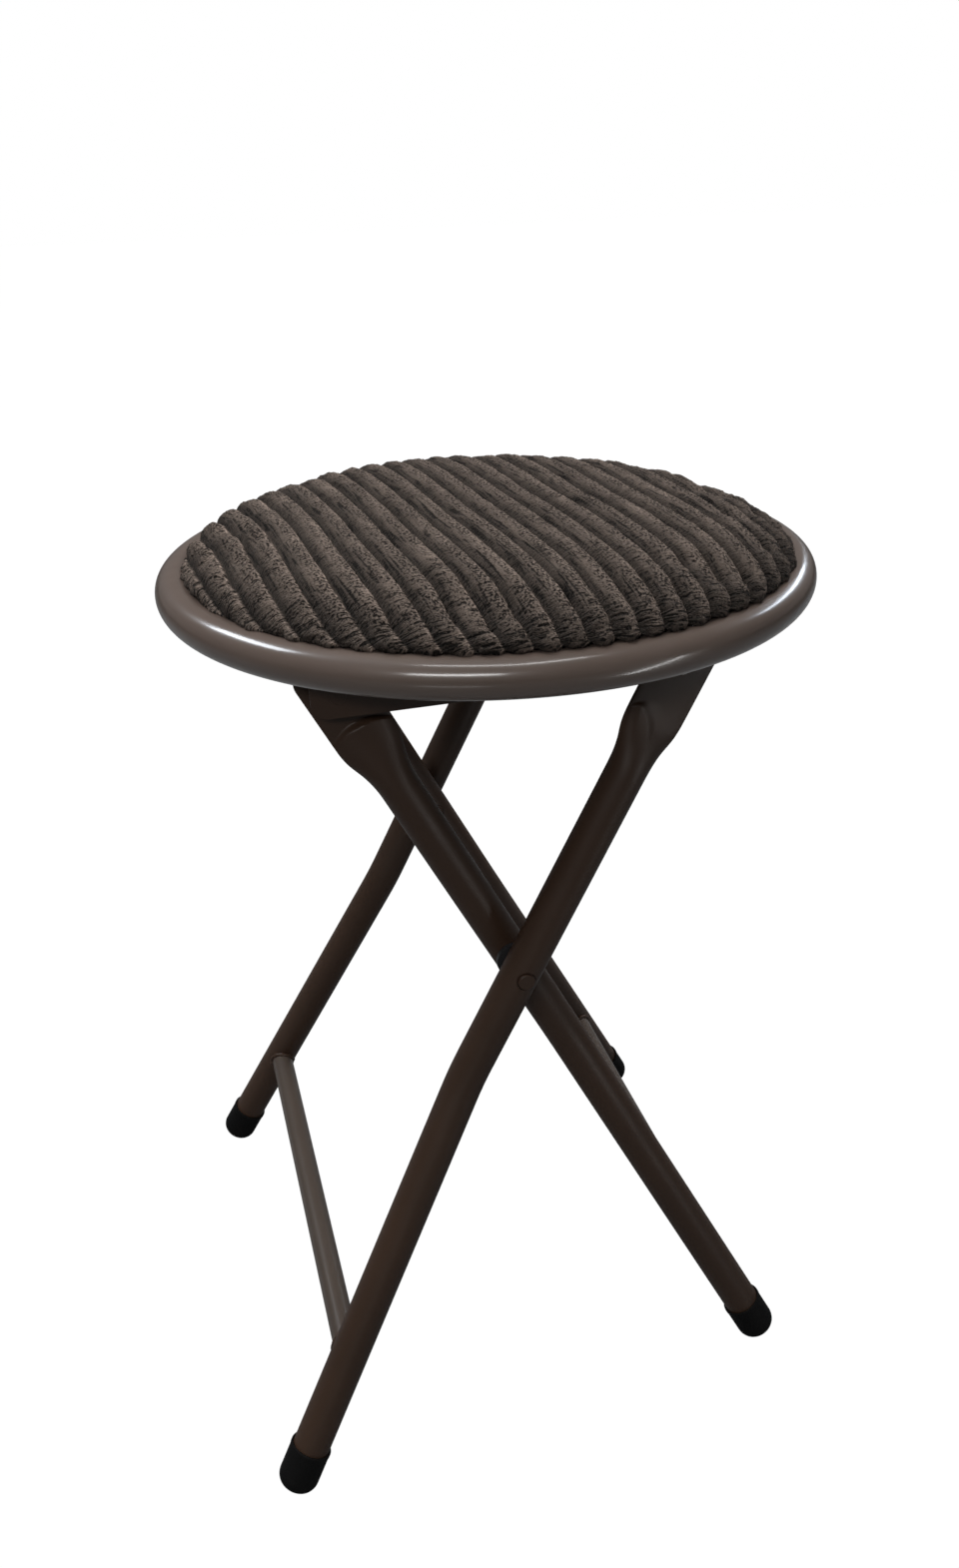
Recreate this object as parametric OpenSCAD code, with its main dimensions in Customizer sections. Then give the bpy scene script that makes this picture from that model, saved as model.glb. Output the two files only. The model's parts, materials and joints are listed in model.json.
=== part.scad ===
// Folding stool with a round padded seat, two crossed tube frames and rubber feet.
// Millimetres, +Z up, the camera side is -Y. The origin is on the floor, under the middle of the outline.

/* [Seat ring] */
// Outer diameter of the ring
ring_d = 320; // [300:1:340]
// Diameter of the ring's tube
ring_tube_d = 19; // [17:0.5:21]
// Wall of the ring's tube
ring_wall = 1.2; // [0.8:0.1:2]
// Height of the ring tube's centre above the seat pivots
ring_rise = 22.1; // [21.5:0.1:26]

/* [Seat pad] */
// Thickness of the seat board
board_t = 8; // [5:0.5:12]
// Height of the padding's crown above its edge
crown_h = 22.5; // [15:0.5:35]
// How far the padding laps over the ring tube, short of the tube's middle
pad_short = 3; // [2:0.5:5]
// Thickness of the cover's cloth
cover_t = 1.25; // [1:0.05:1.8]
// Thickness of the cover over the foam, pile and backing
pile_t = 2.4; // [2:0.1:4]
// Width of one wale of the corduroy
wale_pitch = 12.4; // [9:0.1:16]
// Depth of the grooves between the wales
wale_depth = 1.2; // [0.4:0.1:1.6]
// Turn of the wales from the front-to-back direction, in degrees
wale_turn = 8.5; // [-30:0.5:30]
// Width of the hem under the board
hem_w = 21; // [14:0.5:30]

/* [Seat rails] */
// Thickness of the rail's sheet
rail_t = 1.5; // [1:0.1:1.7]
// How far the flanges reach past the pivots
rail_end = 11.8; // [9:0.1:13]
// How far the flanges reach below the seat pivot
rail_drop = 10; // [9.5:0.5:13]
// Diameter of the screws that hold the board
screw_d = 3.9; // [3:0.1:5]
// Distance of each board screw from the middle of the ring
screw_x = 40; // [25:1:50]

/* [Leg frames] */
// Diameter of the leg tubes
tube_d = 19; // [17:0.5:20]
// Wall of the leg tubes
tube_wall = 1.2; // [0.8:0.1:2]
// Height of the cross pivot above the floor
cross_h = 260.75; // [235:0.25:285]
// Place of the cross pivot to the right of the ring's middle
cross_x = -15.65; // [-25:0.05:-5]
// Lean of the outer frame from upright, in degrees
outer_lean = 27.85; // [25:0.05:30]
// Lean of the inner frame from upright, in degrees
inner_lean = 27.05; // [25:0.05:30]
// Distance from the cross pivot to the seat pivots, along a leg
arm = 167; // [158:0.5:176]
// Distance of the outer tubes from the middle plane, above the bend
outer_half = 102.4; // [95:0.1:107]
// Gap between the outer and the inner tubes
leg_gap = 2.6; // [2.5:0.1:3.5]
// Distance of the bend below the cross pivot, along a leg
bend_drop = 62; // [45:1:85]
// Bend radius on the tube's middle line
bend_r = 120; // [60:5:200]
// Outward splay of the legs below the bend, in degrees
leg_splay = 9.35; // [6:0.05:12]

/* [Flattened leg tops] */
// Half width of the flattened top
tab_half = 14.7; // [13:0.1:14.9]
// Thickness of the flattened top
tab_t = 2.5; // [2:0.1:3]
// Reach of the flattened top past its pivot
tab_reach = 15; // [13:0.5:15.5]
// Radius of the flattened top's corners
tab_round = 8; // [5:0.5:12]
// Where the tube starts to widen, above the cross pivot
flare_start = 90; // [80:1:105]
// Distance of the crease below the seat pivot
crease_drop = 19; // [18:0.1:26]
// Length over which the bulge falls to the flat
crease_len = 4; // [3:0.5:7]
// Drop of the crease's arc at the edges of the flattened top
crease_arc = 7; // [3:0.5:8]
// Half thickness of the bulge just below the crease
bulge_h = 5.6; // [4:0.1:8]

/* [Crossbars] */
// Diameter of the crossbars
bar_d = 13; // [10:0.5:16]
// Wall of the crossbars
bar_wall = 1.2; // [0.8:0.1:2]
// Height of the crossbars above the floor
bar_h = 68; // [55:1:100]

/* [Feet] */
// Wall of the rubber cap round the tube
foot_wall = 0.9; // [0.6:0.1:2]
// Length of the tube's end inside the cap
foot_grip = 18; // [12:0.5:26]
// Thickness of the cap's sole
foot_sole = 6; // [4:0.5:9]
// Radius round the sole's edge
foot_round = 7; // [4:0.5:9]
// Depth of the worn flat where the cap stands on the floor
foot_flat = 0.6; // [0.3:0.1:1]

/* [Pivots] */
// Diameter of the rivets
pin_d = 6; // [5:0.5:7]
// Diameter of the cross rivets' heads
cross_head_d = 8.6; // [7.5:0.1:11]
// Height of the rivet heads
head_h = 1.3; // [0.8:0.1:1.6]
// Diameter of the seat rivets' heads
seat_head_d = 7.4; // [7.2:0.1:8]
// Thickness of the seat rivets' flush outer heads
flush_head = 0.7; // [0.4:0.1:0.8]
// Diameter of the washers in the crossings
washer_d = 18; // [12:0.5:24]
// Diameter of the bushes beside the rails
bush_d = 12; // [9:0.5:14]
// Diameter of the studs' necks in the hooked notches
neck_d = 8; // [7:0.25:8]
// Diameter of the studs' inner heads
stud_head_d = 11; // [9:0.5:12]
// Radius of the rail flange's lower corners
rail_corner = 8; // [5:0.5:9]

/* [Clearances] */
// Radial clearance of a pin in its hole
run_gap = 0.05; // [0.02:0.01:0.1]
// Clearance between faces that slide past each other
side_gap = 0.1; // [0.05:0.01:0.15]
// Clearance round soft pieces
soft_gap = 0.3; // [0.2:0.05:0.5]
// Radial clearance of a stud's neck in its notch
notch_gap = 0.3; // [0.2:0.05:0.5]
// Clearance of a welded end that butts on a tube
weld_gap = 0.1; // [0.05:0.01:0.2]

/* [Hidden] */
$fn = 64;
paint = "#4a403a";
rubber = "#17171a";
zinc = "#b9b6ae";
cloth = "#4c4039";

// Tubes and half distances
tube_r = tube_d / 2;
inner_half = outer_half - tube_d - leg_gap;
ring_tube_r = ring_tube_d / 2;
ring_r = ring_d / 2 - ring_tube_r;
crease_z = arm - crease_drop;

// The sole's edge circle rests on the floor when the leg leans; its centre height follows
foot_r = tube_r + foot_wall;
edge_r = foot_r - foot_round;
function tilt_cos(lean) = cos(lean) * cos(leg_splay);
function sole_h(lean) = edge_r * sqrt(1 - pow(tilt_cos(lean), 2)) + foot_round - foot_flat;
// Length of the lower leg from the bend's corner to the middle of the sole's edge circle
function lower_len(lean) = (cross_h - bend_drop * cos(lean) - sole_h(lean)) / tilt_cos(lean);
function foot_run(lean) = sin(lean) * (bend_drop + lower_len(lean) * cos(leg_splay));
function foot_reach(lean) =
  foot_run(lean) + edge_r * sqrt(1 - pow(sin(lean) * cos(leg_splay), 2)) + foot_round;

// The ring reaches furthest to the right and the outer feet or the ring to the left
left_reach = max(foot_reach(outer_lean) - cross_x, ring_d / 2);
ring_x = (left_reach - ring_d / 2) / 2;
cross_at = [ring_x + cross_x, cross_h];
inner_pivot = cross_at + arm * [-sin(inner_lean), cos(inner_lean)];
outer_pivot = cross_at + arm * [sin(outer_lean), cos(outer_lean)];

// Heights in the seat
ring_z = inner_pivot[1] + ring_rise;
board_z = ring_z - 0.7;
hem_z = board_z - cover_t;
web_z = hem_z - side_gap;
board_top = board_z + board_t;
pad_r = ring_r - pad_short;
cover_r = ring_r - ring_tube_r - soft_gap;
board_r = cover_r - cover_t - side_gap;
lap_r = ring_tube_r + soft_gap;
edge_z = ring_z + sqrt(lap_r * lap_r - pad_short * pad_short);
crown_power = 3.7;

// Distances of the rail's faces from the middle plane
flange_out = outer_half - tube_r - leg_gap / 2 + rail_t / 2;
flange_in = flange_out - rail_t;
inner_flange_out = inner_half - tab_t / 2 - 0.35;
inner_flange_in = inner_flange_out - rail_t;
rail_mid = (flange_out + inner_flange_in) / 2;

// Helpers
module both_sides(side) { mirror([0, side < 0 ? 1 : 0, 0]) children(); }
module along_y(at, y0, y1, r) {
  translate([at[0], y0, at[1]]) rotate([-90, 0, 0]) cylinder(h = y1 - y0, r = r);
}
// Low domed rivet head on a face at y, pointing outwards
module rivet_head(at, y, d, out) {
  translate([at[0], y, at[1]]) rotate([-90 * out, 0, 0]) rotate_extrude() intersection() {
    translate([0, head_h - (d * d / 4 + head_h * head_h) / (2 * head_h)])
      circle(r = (d * d / 4 + head_h * head_h) / (2 * head_h), $fn = 96);
    square([d / 2, head_h]);
  }
}

// Places a frame's own coordinates: the pivot at the origin, up along the leg
module on_frame(lean) { translate([cross_at[0], 0, cross_at[1]]) rotate([0, lean, 0]) children(); }
module pipe_profile(r, wall) { difference() { circle(r = r); circle(r = r - wall); } }

bend_cut = bend_r * tan(leg_splay / 2);
// The straight tubes lap over the bend's ends, whose walls are set in by a hair
bend_lap = 0.5;
hair = 0.06;
module on_lower_leg(half) {
  translate([0, half, -bend_drop]) rotate([leg_splay, 0, 0]) children();
}
function end_len(lean) = lower_len(lean) + foot_round - foot_sole;

module leg_tube(half, lean) {
  top = flare_start + 0.5;
  translate([0, half, -bend_drop + bend_cut - bend_lap])
    linear_extrude(top + bend_drop - bend_cut + bend_lap) pipe_profile(tube_r, tube_wall);
  translate([0, half + bend_r, -bend_drop + bend_cut]) rotate([90, 0, 90]) rotate([0, 0, 180])
    rotate_extrude(angle = leg_splay, $fn = 360) translate([bend_r, 0])
      pipe_profile(tube_r - hair, tube_wall - 2 * hair);
  on_lower_leg(half) translate([0, 0, -end_len(lean)])
    linear_extrude(end_len(lean) - bend_cut + bend_lap) pipe_profile(tube_r, tube_wall);
}

// The flattened top: the round tube widens, stays bulged, then falls over an arched crease to a flat tab
function smooth(t) = let (c = min(1, max(0, t))) c * c * (3 - 2 * c);
function flare(z) = pow(min(1, max(0, (z - flare_start) / (crease_z - flare_start))), 1.25);
function corner_rise(z) = z - arm - tab_reach + tab_round;
function half_w(z) = corner_rise(z) > 0
  ? tab_half - tab_round + sqrt(max(0, tab_round * tab_round - corner_rise(z) * corner_rise(z)))
  : tube_r + (tab_half - tube_r) * flare(z);
function bulge(z) = tube_r + (bulge_h - tube_r) * flare(z) - tab_t / 2;
function crush(x, z) = smooth((crease_z - crease_arc * pow(x / tab_half, 2) - z) / crease_len);
function half_t(s, x, z) =
  tab_t / 2 * pow(s, 1 - 0.92 * flare(z)) + bulge(z) * pow(s, 1 + flare(z)) * crush(x, z);

top_sides = 32;
top_lap = 3;
flare_steps = [for (k = [1:6]) flare_start + 1 + k * (crease_z - 9 - flare_start) / 6];
crease_steps = [for (k = [1:8]) crease_z - 8 + k * 1.2];
end_steps = [for (b = [0, 18, 36, 54, 72, 90]) arm + tab_reach - tab_round + tab_round * sin(b)];
top_steps = concat([flare_start - top_lap, flare_start + 1], flare_steps, crease_steps, [arm - 6], end_steps);
function top_ring(i) = let (z = top_steps[i], w = half_w(z), k = i == 0 ? 0.98 : 1) [
  for (j = [0:top_sides - 1])
    let (a = 360 * j / top_sides, s = abs(sin(a)), x = w * cos(a))
      [k * x, k * (sin(a) < 0 ? -1 : 1) * half_t(s, x, z), z]
];
module flattened_top() {
  n = top_sides;
  rings = len(top_steps);
  points = concat([for (i = [0:rings - 1]) each top_ring(i)],
    [[0, 0, top_steps[0]], [0, 0, top_steps[rings - 1]]]);
  walls = [for (i = [0:rings - 2]) for (j = [0:n - 1]) let (k = (j + 1) % n)
    each [[i * n + j, (i + 1) * n + j, (i + 1) * n + k], [i * n + j, (i + 1) * n + k, i * n + k]]];
  caps = [for (j = [0:n - 1]) let (k = (j + 1) % n, l = (rings - 1) * n)
    each [[rings * n, j, k], [rings * n + 1, l + k, l + j]]];
  polyhedron(points, concat(walls, caps));
}

// One leg on the +Y side; face is +1 where the rivet head sits outside, -1 where it sits inside
module leg(half, lean, sign, face) {
  on_frame(sign * lean) difference() {
    union() {
      leg_tube(half, lean);
      translate([0, half, 0]) flattened_top();
    }
    along_y([0, 0], half - tube_d, half + tube_d, pin_d / 2 + run_gap);
    along_y([0, arm], half - tube_d, half + tube_d, pin_d / 2 + run_gap);
    head_seat(half, face);
  }
}
// Pressed flat in the tube where a rivet head sits
head_sink = 0.5;
module head_seat(half, face) {
  y = half + face * (tube_r - head_sink);
  along_y([0, 0], min(y, y + face * tube_r), max(y, y + face * tube_r), cross_head_d / 2 + 0.3);
}
module outer_leg(side) { color(paint) both_sides(side) leg(outer_half, outer_lean, 1, 1); }
module inner_leg(side) { color(paint) both_sides(side) leg(inner_half, inner_lean, -1, -1); }

// Crossbar with ends coped to the legs
module crossbar(half, lean, sign) {
  drop = (cross_h - bar_h) / cos(lean);
  reach = half + (drop - bend_drop) * tan(leg_splay);
  color(paint) on_frame(sign * lean) difference() {
    along_y([0, -drop], -reach, reach, bar_d / 2);
    along_y([0, -drop], -reach, reach, bar_d / 2 - bar_wall);
    for (side = [-1, 1]) both_sides(side) on_lower_leg(half)
      translate([0, 0, -2 * drop]) cylinder(h = 2 * drop, r = tube_r + weld_gap);
  }
}

// Direction of the floor as seen along the leg, in degrees about the leg
function low_side(lean) = atan2(-sin(leg_splay) * cos(lean), sin(lean));
// Rubber cap pushed over the leg's end, with a rounded sole and a small worn flat
module foot(half, lean, sign, side) {
  color(rubber) difference() {
    both_sides(side) on_frame(sign * lean) on_lower_leg(half) translate([0, 0, -end_len(lean) - foot_sole])
      difference() {
        rotate([0, 0, low_side(sign * lean)]) rotate_extrude() foot_profile();
        translate([0, 0, foot_sole]) cylinder(h = foot_grip + 1, r = tube_r + run_gap);
      }
    translate([-500, -500, -100]) cube([1000, 1000, 100]);
  }
}
module foot_profile() {
  lip = foot_wall / 2;
  square([edge_r, foot_sole]);
  translate([edge_r, foot_round]) intersection() {
    circle(r = foot_round, $fn = 96);
    translate([0, -foot_round]) square(foot_round);
  }
  translate([0, foot_round]) square([foot_r, foot_sole + foot_grip - foot_round - lip]);
  translate([0, foot_sole + foot_grip - lip]) square([foot_r - lip, lip]);
  translate([foot_r - lip, foot_sole + foot_grip - lip]) circle(r = lip, $fn = 48);
}

// Cross rivet from the outer tube's outside to the inner tube's inside
module cross_rivet(side) {
  y0 = inner_half - tube_r + head_sink;
  y1 = outer_half + tube_r - head_sink;
  color(paint) both_sides(side) {
    along_y(cross_at, y0, y1, pin_d / 2);
    rivet_head(cross_at, y1, cross_head_d, 1);
    rivet_head(cross_at, y0, cross_head_d, -1);
  }
}
module cross_washer(side) {
  y0 = inner_half + tube_r + side_gap;
  y1 = outer_half - tube_r - side_gap;
  color(rubber) both_sides(side) difference() {
    along_y(cross_at, y0, y1, washer_d / 2);
    along_y(cross_at, y0 - 1, y1 + 1, pin_d / 2 + run_gap);
  }
}

// Stud riveted to the outer tab; its neck sits in the rail's hooked notch
module hook_stud(side) {
  tab_out = outer_half + tab_t / 2;
  tab_in = outer_half - tab_t / 2;
  color(zinc) both_sides(side) {
    along_y(outer_pivot, flange_out + soft_gap, tab_out, pin_d / 2);
    rivet_head(outer_pivot, tab_out, bush_d - 2, 1);
    along_y(outer_pivot, flange_out + soft_gap, tab_in, bush_d / 2);
    along_y(outer_pivot, flange_in - soft_gap, flange_out + soft_gap, neck_d / 2);
    along_y(outer_pivot, flange_in - soft_gap - head_h, flange_in - soft_gap, stud_head_d / 2);
  }
}

// Seat pivot: rivet through both flanges, with a bush between the outer flange and the tab
module seat_rivet(side) {
  color(zinc) both_sides(side) {
    along_y(inner_pivot, inner_flange_in, flange_out, pin_d / 2);
    along_y(inner_pivot, flange_out - flush_head, flange_out, seat_head_d / 2);
    rivet_head(inner_pivot, inner_flange_in, seat_head_d, -1);
  }
}
module seat_bush(side) {
  y0 = inner_half + tab_t / 2 + side_gap;
  y1 = flange_in - side_gap;
  color(rubber) both_sides(side) difference() {
    along_y(inner_pivot, y0, y1, bush_d / 2);
    along_y(inner_pivot, y0 - 1, y1 + 1, pin_d / 2 + run_gap);
  }
}

module seat_ring() {
  color(paint) translate([ring_x, 0, ring_z])
    rotate_extrude($fn = 180) translate([ring_r, 0]) pipe_profile(ring_tube_r, ring_wall);
}

// Pressed channel rail, welded to the ring at the ends of its web
rail_low = inner_pivot[1] - rail_drop;
rail_left = inner_pivot[0] - rail_end;
fold_ratio = 2.335;
// Way of a stud against its rail as the stool starts to fold; a little is taken off for its curve
seat_turn = fold_ratio * (outer_pivot - inner_pivot);
leg_turn = outer_pivot - cross_at;
notch_dir = atan2(seat_turn[0] - leg_turn[0], leg_turn[1] - seat_turn[1]) - 2.5;
rail_right = outer_pivot[0] + rail_end;
module rail_side_outline() {
  for (x = [rail_left + rail_corner, rail_right - rail_corner])
    translate([x, rail_low + rail_corner]) circle(r = rail_corner);
  translate([rail_left + rail_corner, rail_low])
    square([rail_right - rail_left - 2 * rail_corner, web_z - rail_low]);
  translate([rail_left, rail_low + rail_corner])
    square([rail_right - rail_left, web_z - rail_low - rail_corner]);
  translate([ring_x - ring_r, web_z - rail_t]) square([2 * ring_r, rail_t]);
}
module rail_channel_outline() {
  corner = rail_t + 1;
  width = flange_out - inner_flange_in;
  height = web_z - rail_low;
  difference() {
    rounded_top(width, height, corner);
    translate([rail_t, -1]) rounded_top(width - 2 * rail_t, height - rail_t + 1, 1);
  }
}
module rounded_top(w, h, r) {
  square([w, h - r]);
  translate([r, 0]) square([w - 2 * r, h]);
  for (x = [r, w - r]) translate([x, h - r]) circle(r = r);
}
module hook_notch() {
  r = neck_d / 2 + notch_gap;
  mouth = 2 * rail_drop;
  mouth_r = r + 0.8;
  translate([outer_pivot[0], flange_out + 1, outer_pivot[1]]) rotate([90, 0, 0]) linear_extrude(rail_t + 2) {
    circle(r = r);
    rotate(180 + notch_dir) polygon([[0, -r], [mouth, -mouth_r], [mouth, mouth_r], [0, r]]);
  }
}
module seat_rail(side) {
  color(paint) both_sides(side) difference() {
    intersection() {
      translate([0, inner_flange_in, rail_low]) rotate([90, 0, 90])
        translate([0, 0, -ring_d]) linear_extrude(2 * ring_d) rail_channel_outline();
      translate([0, flange_out + 1, 0]) rotate([90, 0, 0]) linear_extrude(ring_r) rail_side_outline();
      translate([ring_x, 0, rail_low - 1]) cylinder(h = ring_d, r = ring_r - ring_tube_r - weld_gap);
    }
    along_y(inner_pivot, inner_flange_in - 1, flange_out + 1, pin_d / 2 + run_gap);
    along_y(inner_pivot, flange_out - flush_head - run_gap, flange_out + 1, seat_head_d / 2 + run_gap);
    hook_notch();
    for (x = [-1, 1]) translate([ring_x + x * screw_x, rail_mid, rail_low])
      cylinder(h = ring_d, r = screw_d / 2 + side_gap);
  }
}

screw_head_h = 2.4;
module board_screws() {
  tip = board_top - 1.5;
  color(zinc) for (x = [-1, 1], side = [-1, 1])
    translate([ring_x + x * screw_x, side * rail_mid, web_z - rail_t - screw_head_h]) {
      rotate_extrude() intersection() {
        translate([0, 3.6]) circle(r = 4.2, $fn = 96);
        square([screw_d, screw_head_h]);
      }
      cylinder(h = tip - web_z + rail_t + screw_head_h, r = screw_d / 2);
    }
}
module seat_board() {
  color("#b79a6c") difference() {
    translate([ring_x, 0, board_z]) cylinder(h = board_t, r = board_r, $fn = 180);
    for (x = [-1, 1], side = [-1, 1])
      translate([ring_x + x * screw_x, side * rail_mid, board_z - 1])
        cylinder(h = board_t - 0.4, r = screw_d / 2 + run_gap);
  }
}

// Crowned dome over a radius, from a base height
function dome(r, reach, rise) = rise * sqrt(max(0, 1 - pow(r / reach, crown_power)));
module dome_solid(reach, rise, base, foot_z) {
  steps = [0, 0.2, 0.4, 0.55, 0.68, 0.78, 0.86, 0.92, 0.96, 0.985, 1];
  rotate_extrude($fn = 180)
    polygon(concat([[0, foot_z]], [[reach, foot_z]],
      [for (i = [len(steps) - 1:-1:0]) [reach * steps[i], base + dome(steps[i] * reach, reach, rise)]]));
}
foam_in = pile_t + soft_gap;
foam_r = pad_r - pile_t - soft_gap - 1;
module seat_foam() {
  color("#d8cfa8") translate([ring_x, 0, 0]) {
    dome_solid(foam_r, crown_h - foam_in, edge_z, edge_z - 0.5);
    translate([0, 0, board_top]) cylinder(h = edge_z - board_top, r = board_r - soft_gap, $fn = 180);
  }
}
module cover_hollow() {
  dome_solid(foam_r + soft_gap, crown_h - foam_in + soft_gap, edge_z, edge_z - 0.8);
  translate([0, 0, board_z]) cylinder(h = edge_z - board_z - 0.4, r = board_r + side_gap, $fn = 180);
  translate([0, 0, hem_z - 1]) cylinder(h = cover_t + 2, r = cover_r - hem_w, $fn = 180);
}

// Corduroy: lines across the wales, each sampled along its chord
wale_lines = 4;
wale_n = floor(2 * pad_r / wale_pitch);
chord_steps = [-1, -0.96, -0.85, -0.55, 0, 0.55, 0.85, 0.96, 1];
rim_at = 0.996;
line_n = wale_n * wale_lines + 2;
function line_u(i) = let (u = (i - line_n / 2) * wale_pitch / wale_lines)
  i == 0 ? -rim_at * pad_r : i == line_n ? rim_at * pad_r
  : max(-rim_at * pad_r * 0.995, min(rim_at * pad_r * 0.995, u));
function wale_drop(u, r) = wale_depth * pow(abs(cos(180 * u / wale_pitch)), 3) * (1 - pow(r / pad_r, 8));
function cover_point(i, t) = let (u = line_u(i), v = t * sqrt(pad_r * pad_r - u * u),
  r = min(pad_r, sqrt(u * u + v * v)))
  [u, v, edge_z + dome(r, pad_r, crown_h) - wale_drop(u, r)];
module ribbed_dome() {
  m = len(chord_steps);
  base_z = edge_z - 0.9;
  base_k = (pad_r - 2) / pad_r;
  top = [for (i = [0:line_n]) for (j = [0:m - 1]) cover_point(i, chord_steps[j])];
  loop = concat([for (j = [0:m - 1]) j], [for (i = [1:line_n]) i * m + m - 1],
    [for (j = [m - 2:-1:0]) line_n * m + j], [for (i = [line_n - 1:-1:1]) i * m]);
  n = len(loop);
  low = [for (k = loop) [top[k][0] * base_k, top[k][1] * base_k, base_z]];
  first = len(top);
  faces = concat(
    [for (i = [0:line_n - 1]) for (j = [0:m - 2]) let (a = i * m + j, b = a + m)
      each [[a, a + 1, b + 1], [a, b + 1, b]]],
    [for (k = [0:n - 1]) let (l = (k + 1) % n)
      each [[loop[l], loop[k], first + k], [loop[l], first + k, first + l]]],
    [for (k = [0:n - 1]) [first + (k + 1) % n, first + k, first + n]]);
  polyhedron(concat(top, low, [[0, 0, base_z]]), faces);
}
// The cover's drawn-in side, which follows the ring's tube, and the hem under the board
module cover_side() {
  top_angle = acos((pad_short + 1.6) / lap_r);
  side = [for (a = [0:0.125:1])
    let (b = 180 - a * (180 - 90 - (90 - top_angle)))
      [ring_r + lap_r * cos(b), ring_z + lap_r * sin(b)]];
  rotate_extrude($fn = 180)
    polygon(concat([[0, hem_z], [cover_r, hem_z]], side, [[0, side[len(side) - 1][1]]]));
}
module seat_cover() {
  color(cloth) translate([ring_x, 0, 0]) difference() {
    union() {
      rotate([0, 0, wale_turn]) ribbed_dome();
      cover_side();
    }
    cover_hollow();
  }
}

// Staples through the hem, in four groups between the rails
module cover_staples() {
  color(zinc) translate([ring_x, 0, hem_z - 0.6])
    for (group = [0, 90, 180, 270], step = [-2:2]) rotate([0, 0, group + 12 * step])
      translate([cover_r - hem_w / 2, -5, 0]) cube([0.9, 10, 0.6]);
}

seat_ring();
seat_rail(-1);  // seat_rail_front
seat_rail(1);  // seat_rail_rear
seat_board();
seat_foam();
seat_cover();
cover_staples();
board_screws();
seat_rivet(-1);  // seat_rivet_front
seat_rivet(1);  // seat_rivet_rear
seat_bush(-1);  // seat_bush_front
seat_bush(1);  // seat_bush_rear
inner_leg(-1);  // inner_leg_front
inner_leg(1);  // inner_leg_rear
crossbar(inner_half, inner_lean, -1);  // inner_crossbar
foot(inner_half, inner_lean, -1, -1);  // inner_foot_front
foot(inner_half, inner_lean, -1, 1);  // inner_foot_rear
outer_leg(-1);  // outer_leg_front
outer_leg(1);  // outer_leg_rear
crossbar(outer_half, outer_lean, 1);  // outer_crossbar
foot(outer_half, outer_lean, 1, -1);  // outer_foot_front
foot(outer_half, outer_lean, 1, 1);  // outer_foot_rear
hook_stud(-1);  // hook_stud_front
hook_stud(1);  // hook_stud_rear
cross_rivet(-1);  // cross_rivet_front
cross_rivet(1);  // cross_rivet_rear
cross_washer(-1);  // cross_washer_front
cross_washer(1);  // cross_washer_rear
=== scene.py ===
# %% [markdown]
# # A folding stool with a corduroy seat
# Two crossed tube frames carry a round padded seat in a tube ring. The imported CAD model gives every
# size; this lesson dresses it: smooth tubes with crushed tops, weld beads, a plush cover and paint.

# %% Load the frame
import json
import math

import bmesh
import bpy
import numpy as np
from mathutils import Matrix, Vector, noise


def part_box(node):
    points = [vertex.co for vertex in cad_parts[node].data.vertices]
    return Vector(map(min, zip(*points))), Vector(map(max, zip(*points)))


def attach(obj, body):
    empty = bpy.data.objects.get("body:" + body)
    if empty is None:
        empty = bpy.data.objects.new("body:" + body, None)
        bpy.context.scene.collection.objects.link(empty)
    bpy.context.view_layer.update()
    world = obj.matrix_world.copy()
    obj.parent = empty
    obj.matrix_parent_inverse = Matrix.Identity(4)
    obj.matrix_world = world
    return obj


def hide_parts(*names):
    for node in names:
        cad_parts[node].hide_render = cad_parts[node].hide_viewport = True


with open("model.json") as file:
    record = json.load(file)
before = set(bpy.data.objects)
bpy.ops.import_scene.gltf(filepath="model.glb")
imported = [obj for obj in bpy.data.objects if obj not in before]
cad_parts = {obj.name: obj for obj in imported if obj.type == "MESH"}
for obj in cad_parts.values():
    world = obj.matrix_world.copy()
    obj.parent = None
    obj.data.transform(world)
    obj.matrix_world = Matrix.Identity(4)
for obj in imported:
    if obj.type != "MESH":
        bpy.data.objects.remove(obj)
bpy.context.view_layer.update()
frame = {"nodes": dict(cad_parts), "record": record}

# %% [markdown]
# ## The stool's own numbers
# The new meshes lie where the CAD solids lie, so they repeat the CAD's named sizes. The cross pivot
# is the natural middle of the folding gear: both frames are described from it, along their own lean.

# %% Sizes in millimetres
TUBE_R = 9.5  # the tube of the legs and the ring
RING_Z, RING_R = 431.582, 150.5  # height and radius of the ring's centre line
CROSS = (-15.65, 260.75)  # x and z of the cross pivot
ARM = 167.0  # from the cross pivot up to the pivot in a crushed top
BEND_DROP, BEND_R = 62.0, 120.0  # the bend's corner below the cross pivot, and the bend's radius
SPLAY = math.radians(9.35)  # of the lower legs, outwards
BAR_R, BAR_H = 6.5, 68.0  # radius and height of the crossbars
FOOT_EDGE_R, SOLE_ROUND, SOLE_FLAT = 3.4, 7.0, 0.6  # sole: middle of its rounding, rounding, flat
OUTER = {"body": "outer_frame", "half": 102.4, "lean": math.radians(27.85)}
INNER = {"body": "inner_frame", "half": 80.8, "lean": math.radians(-27.05)}
FRAMES = ((OUTER, "outer"), (INNER, "inner"))
ENDS = ((-1, "front"), (1, "rear"))


def frame_matrix(leg):
    """Places a leg frame's own coordinates, with the cross pivot at their origin."""
    return Matrix.Translation((CROSS[0], 0, CROSS[1])) @ Matrix.Rotation(leg["lean"], 4, "Y")


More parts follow.
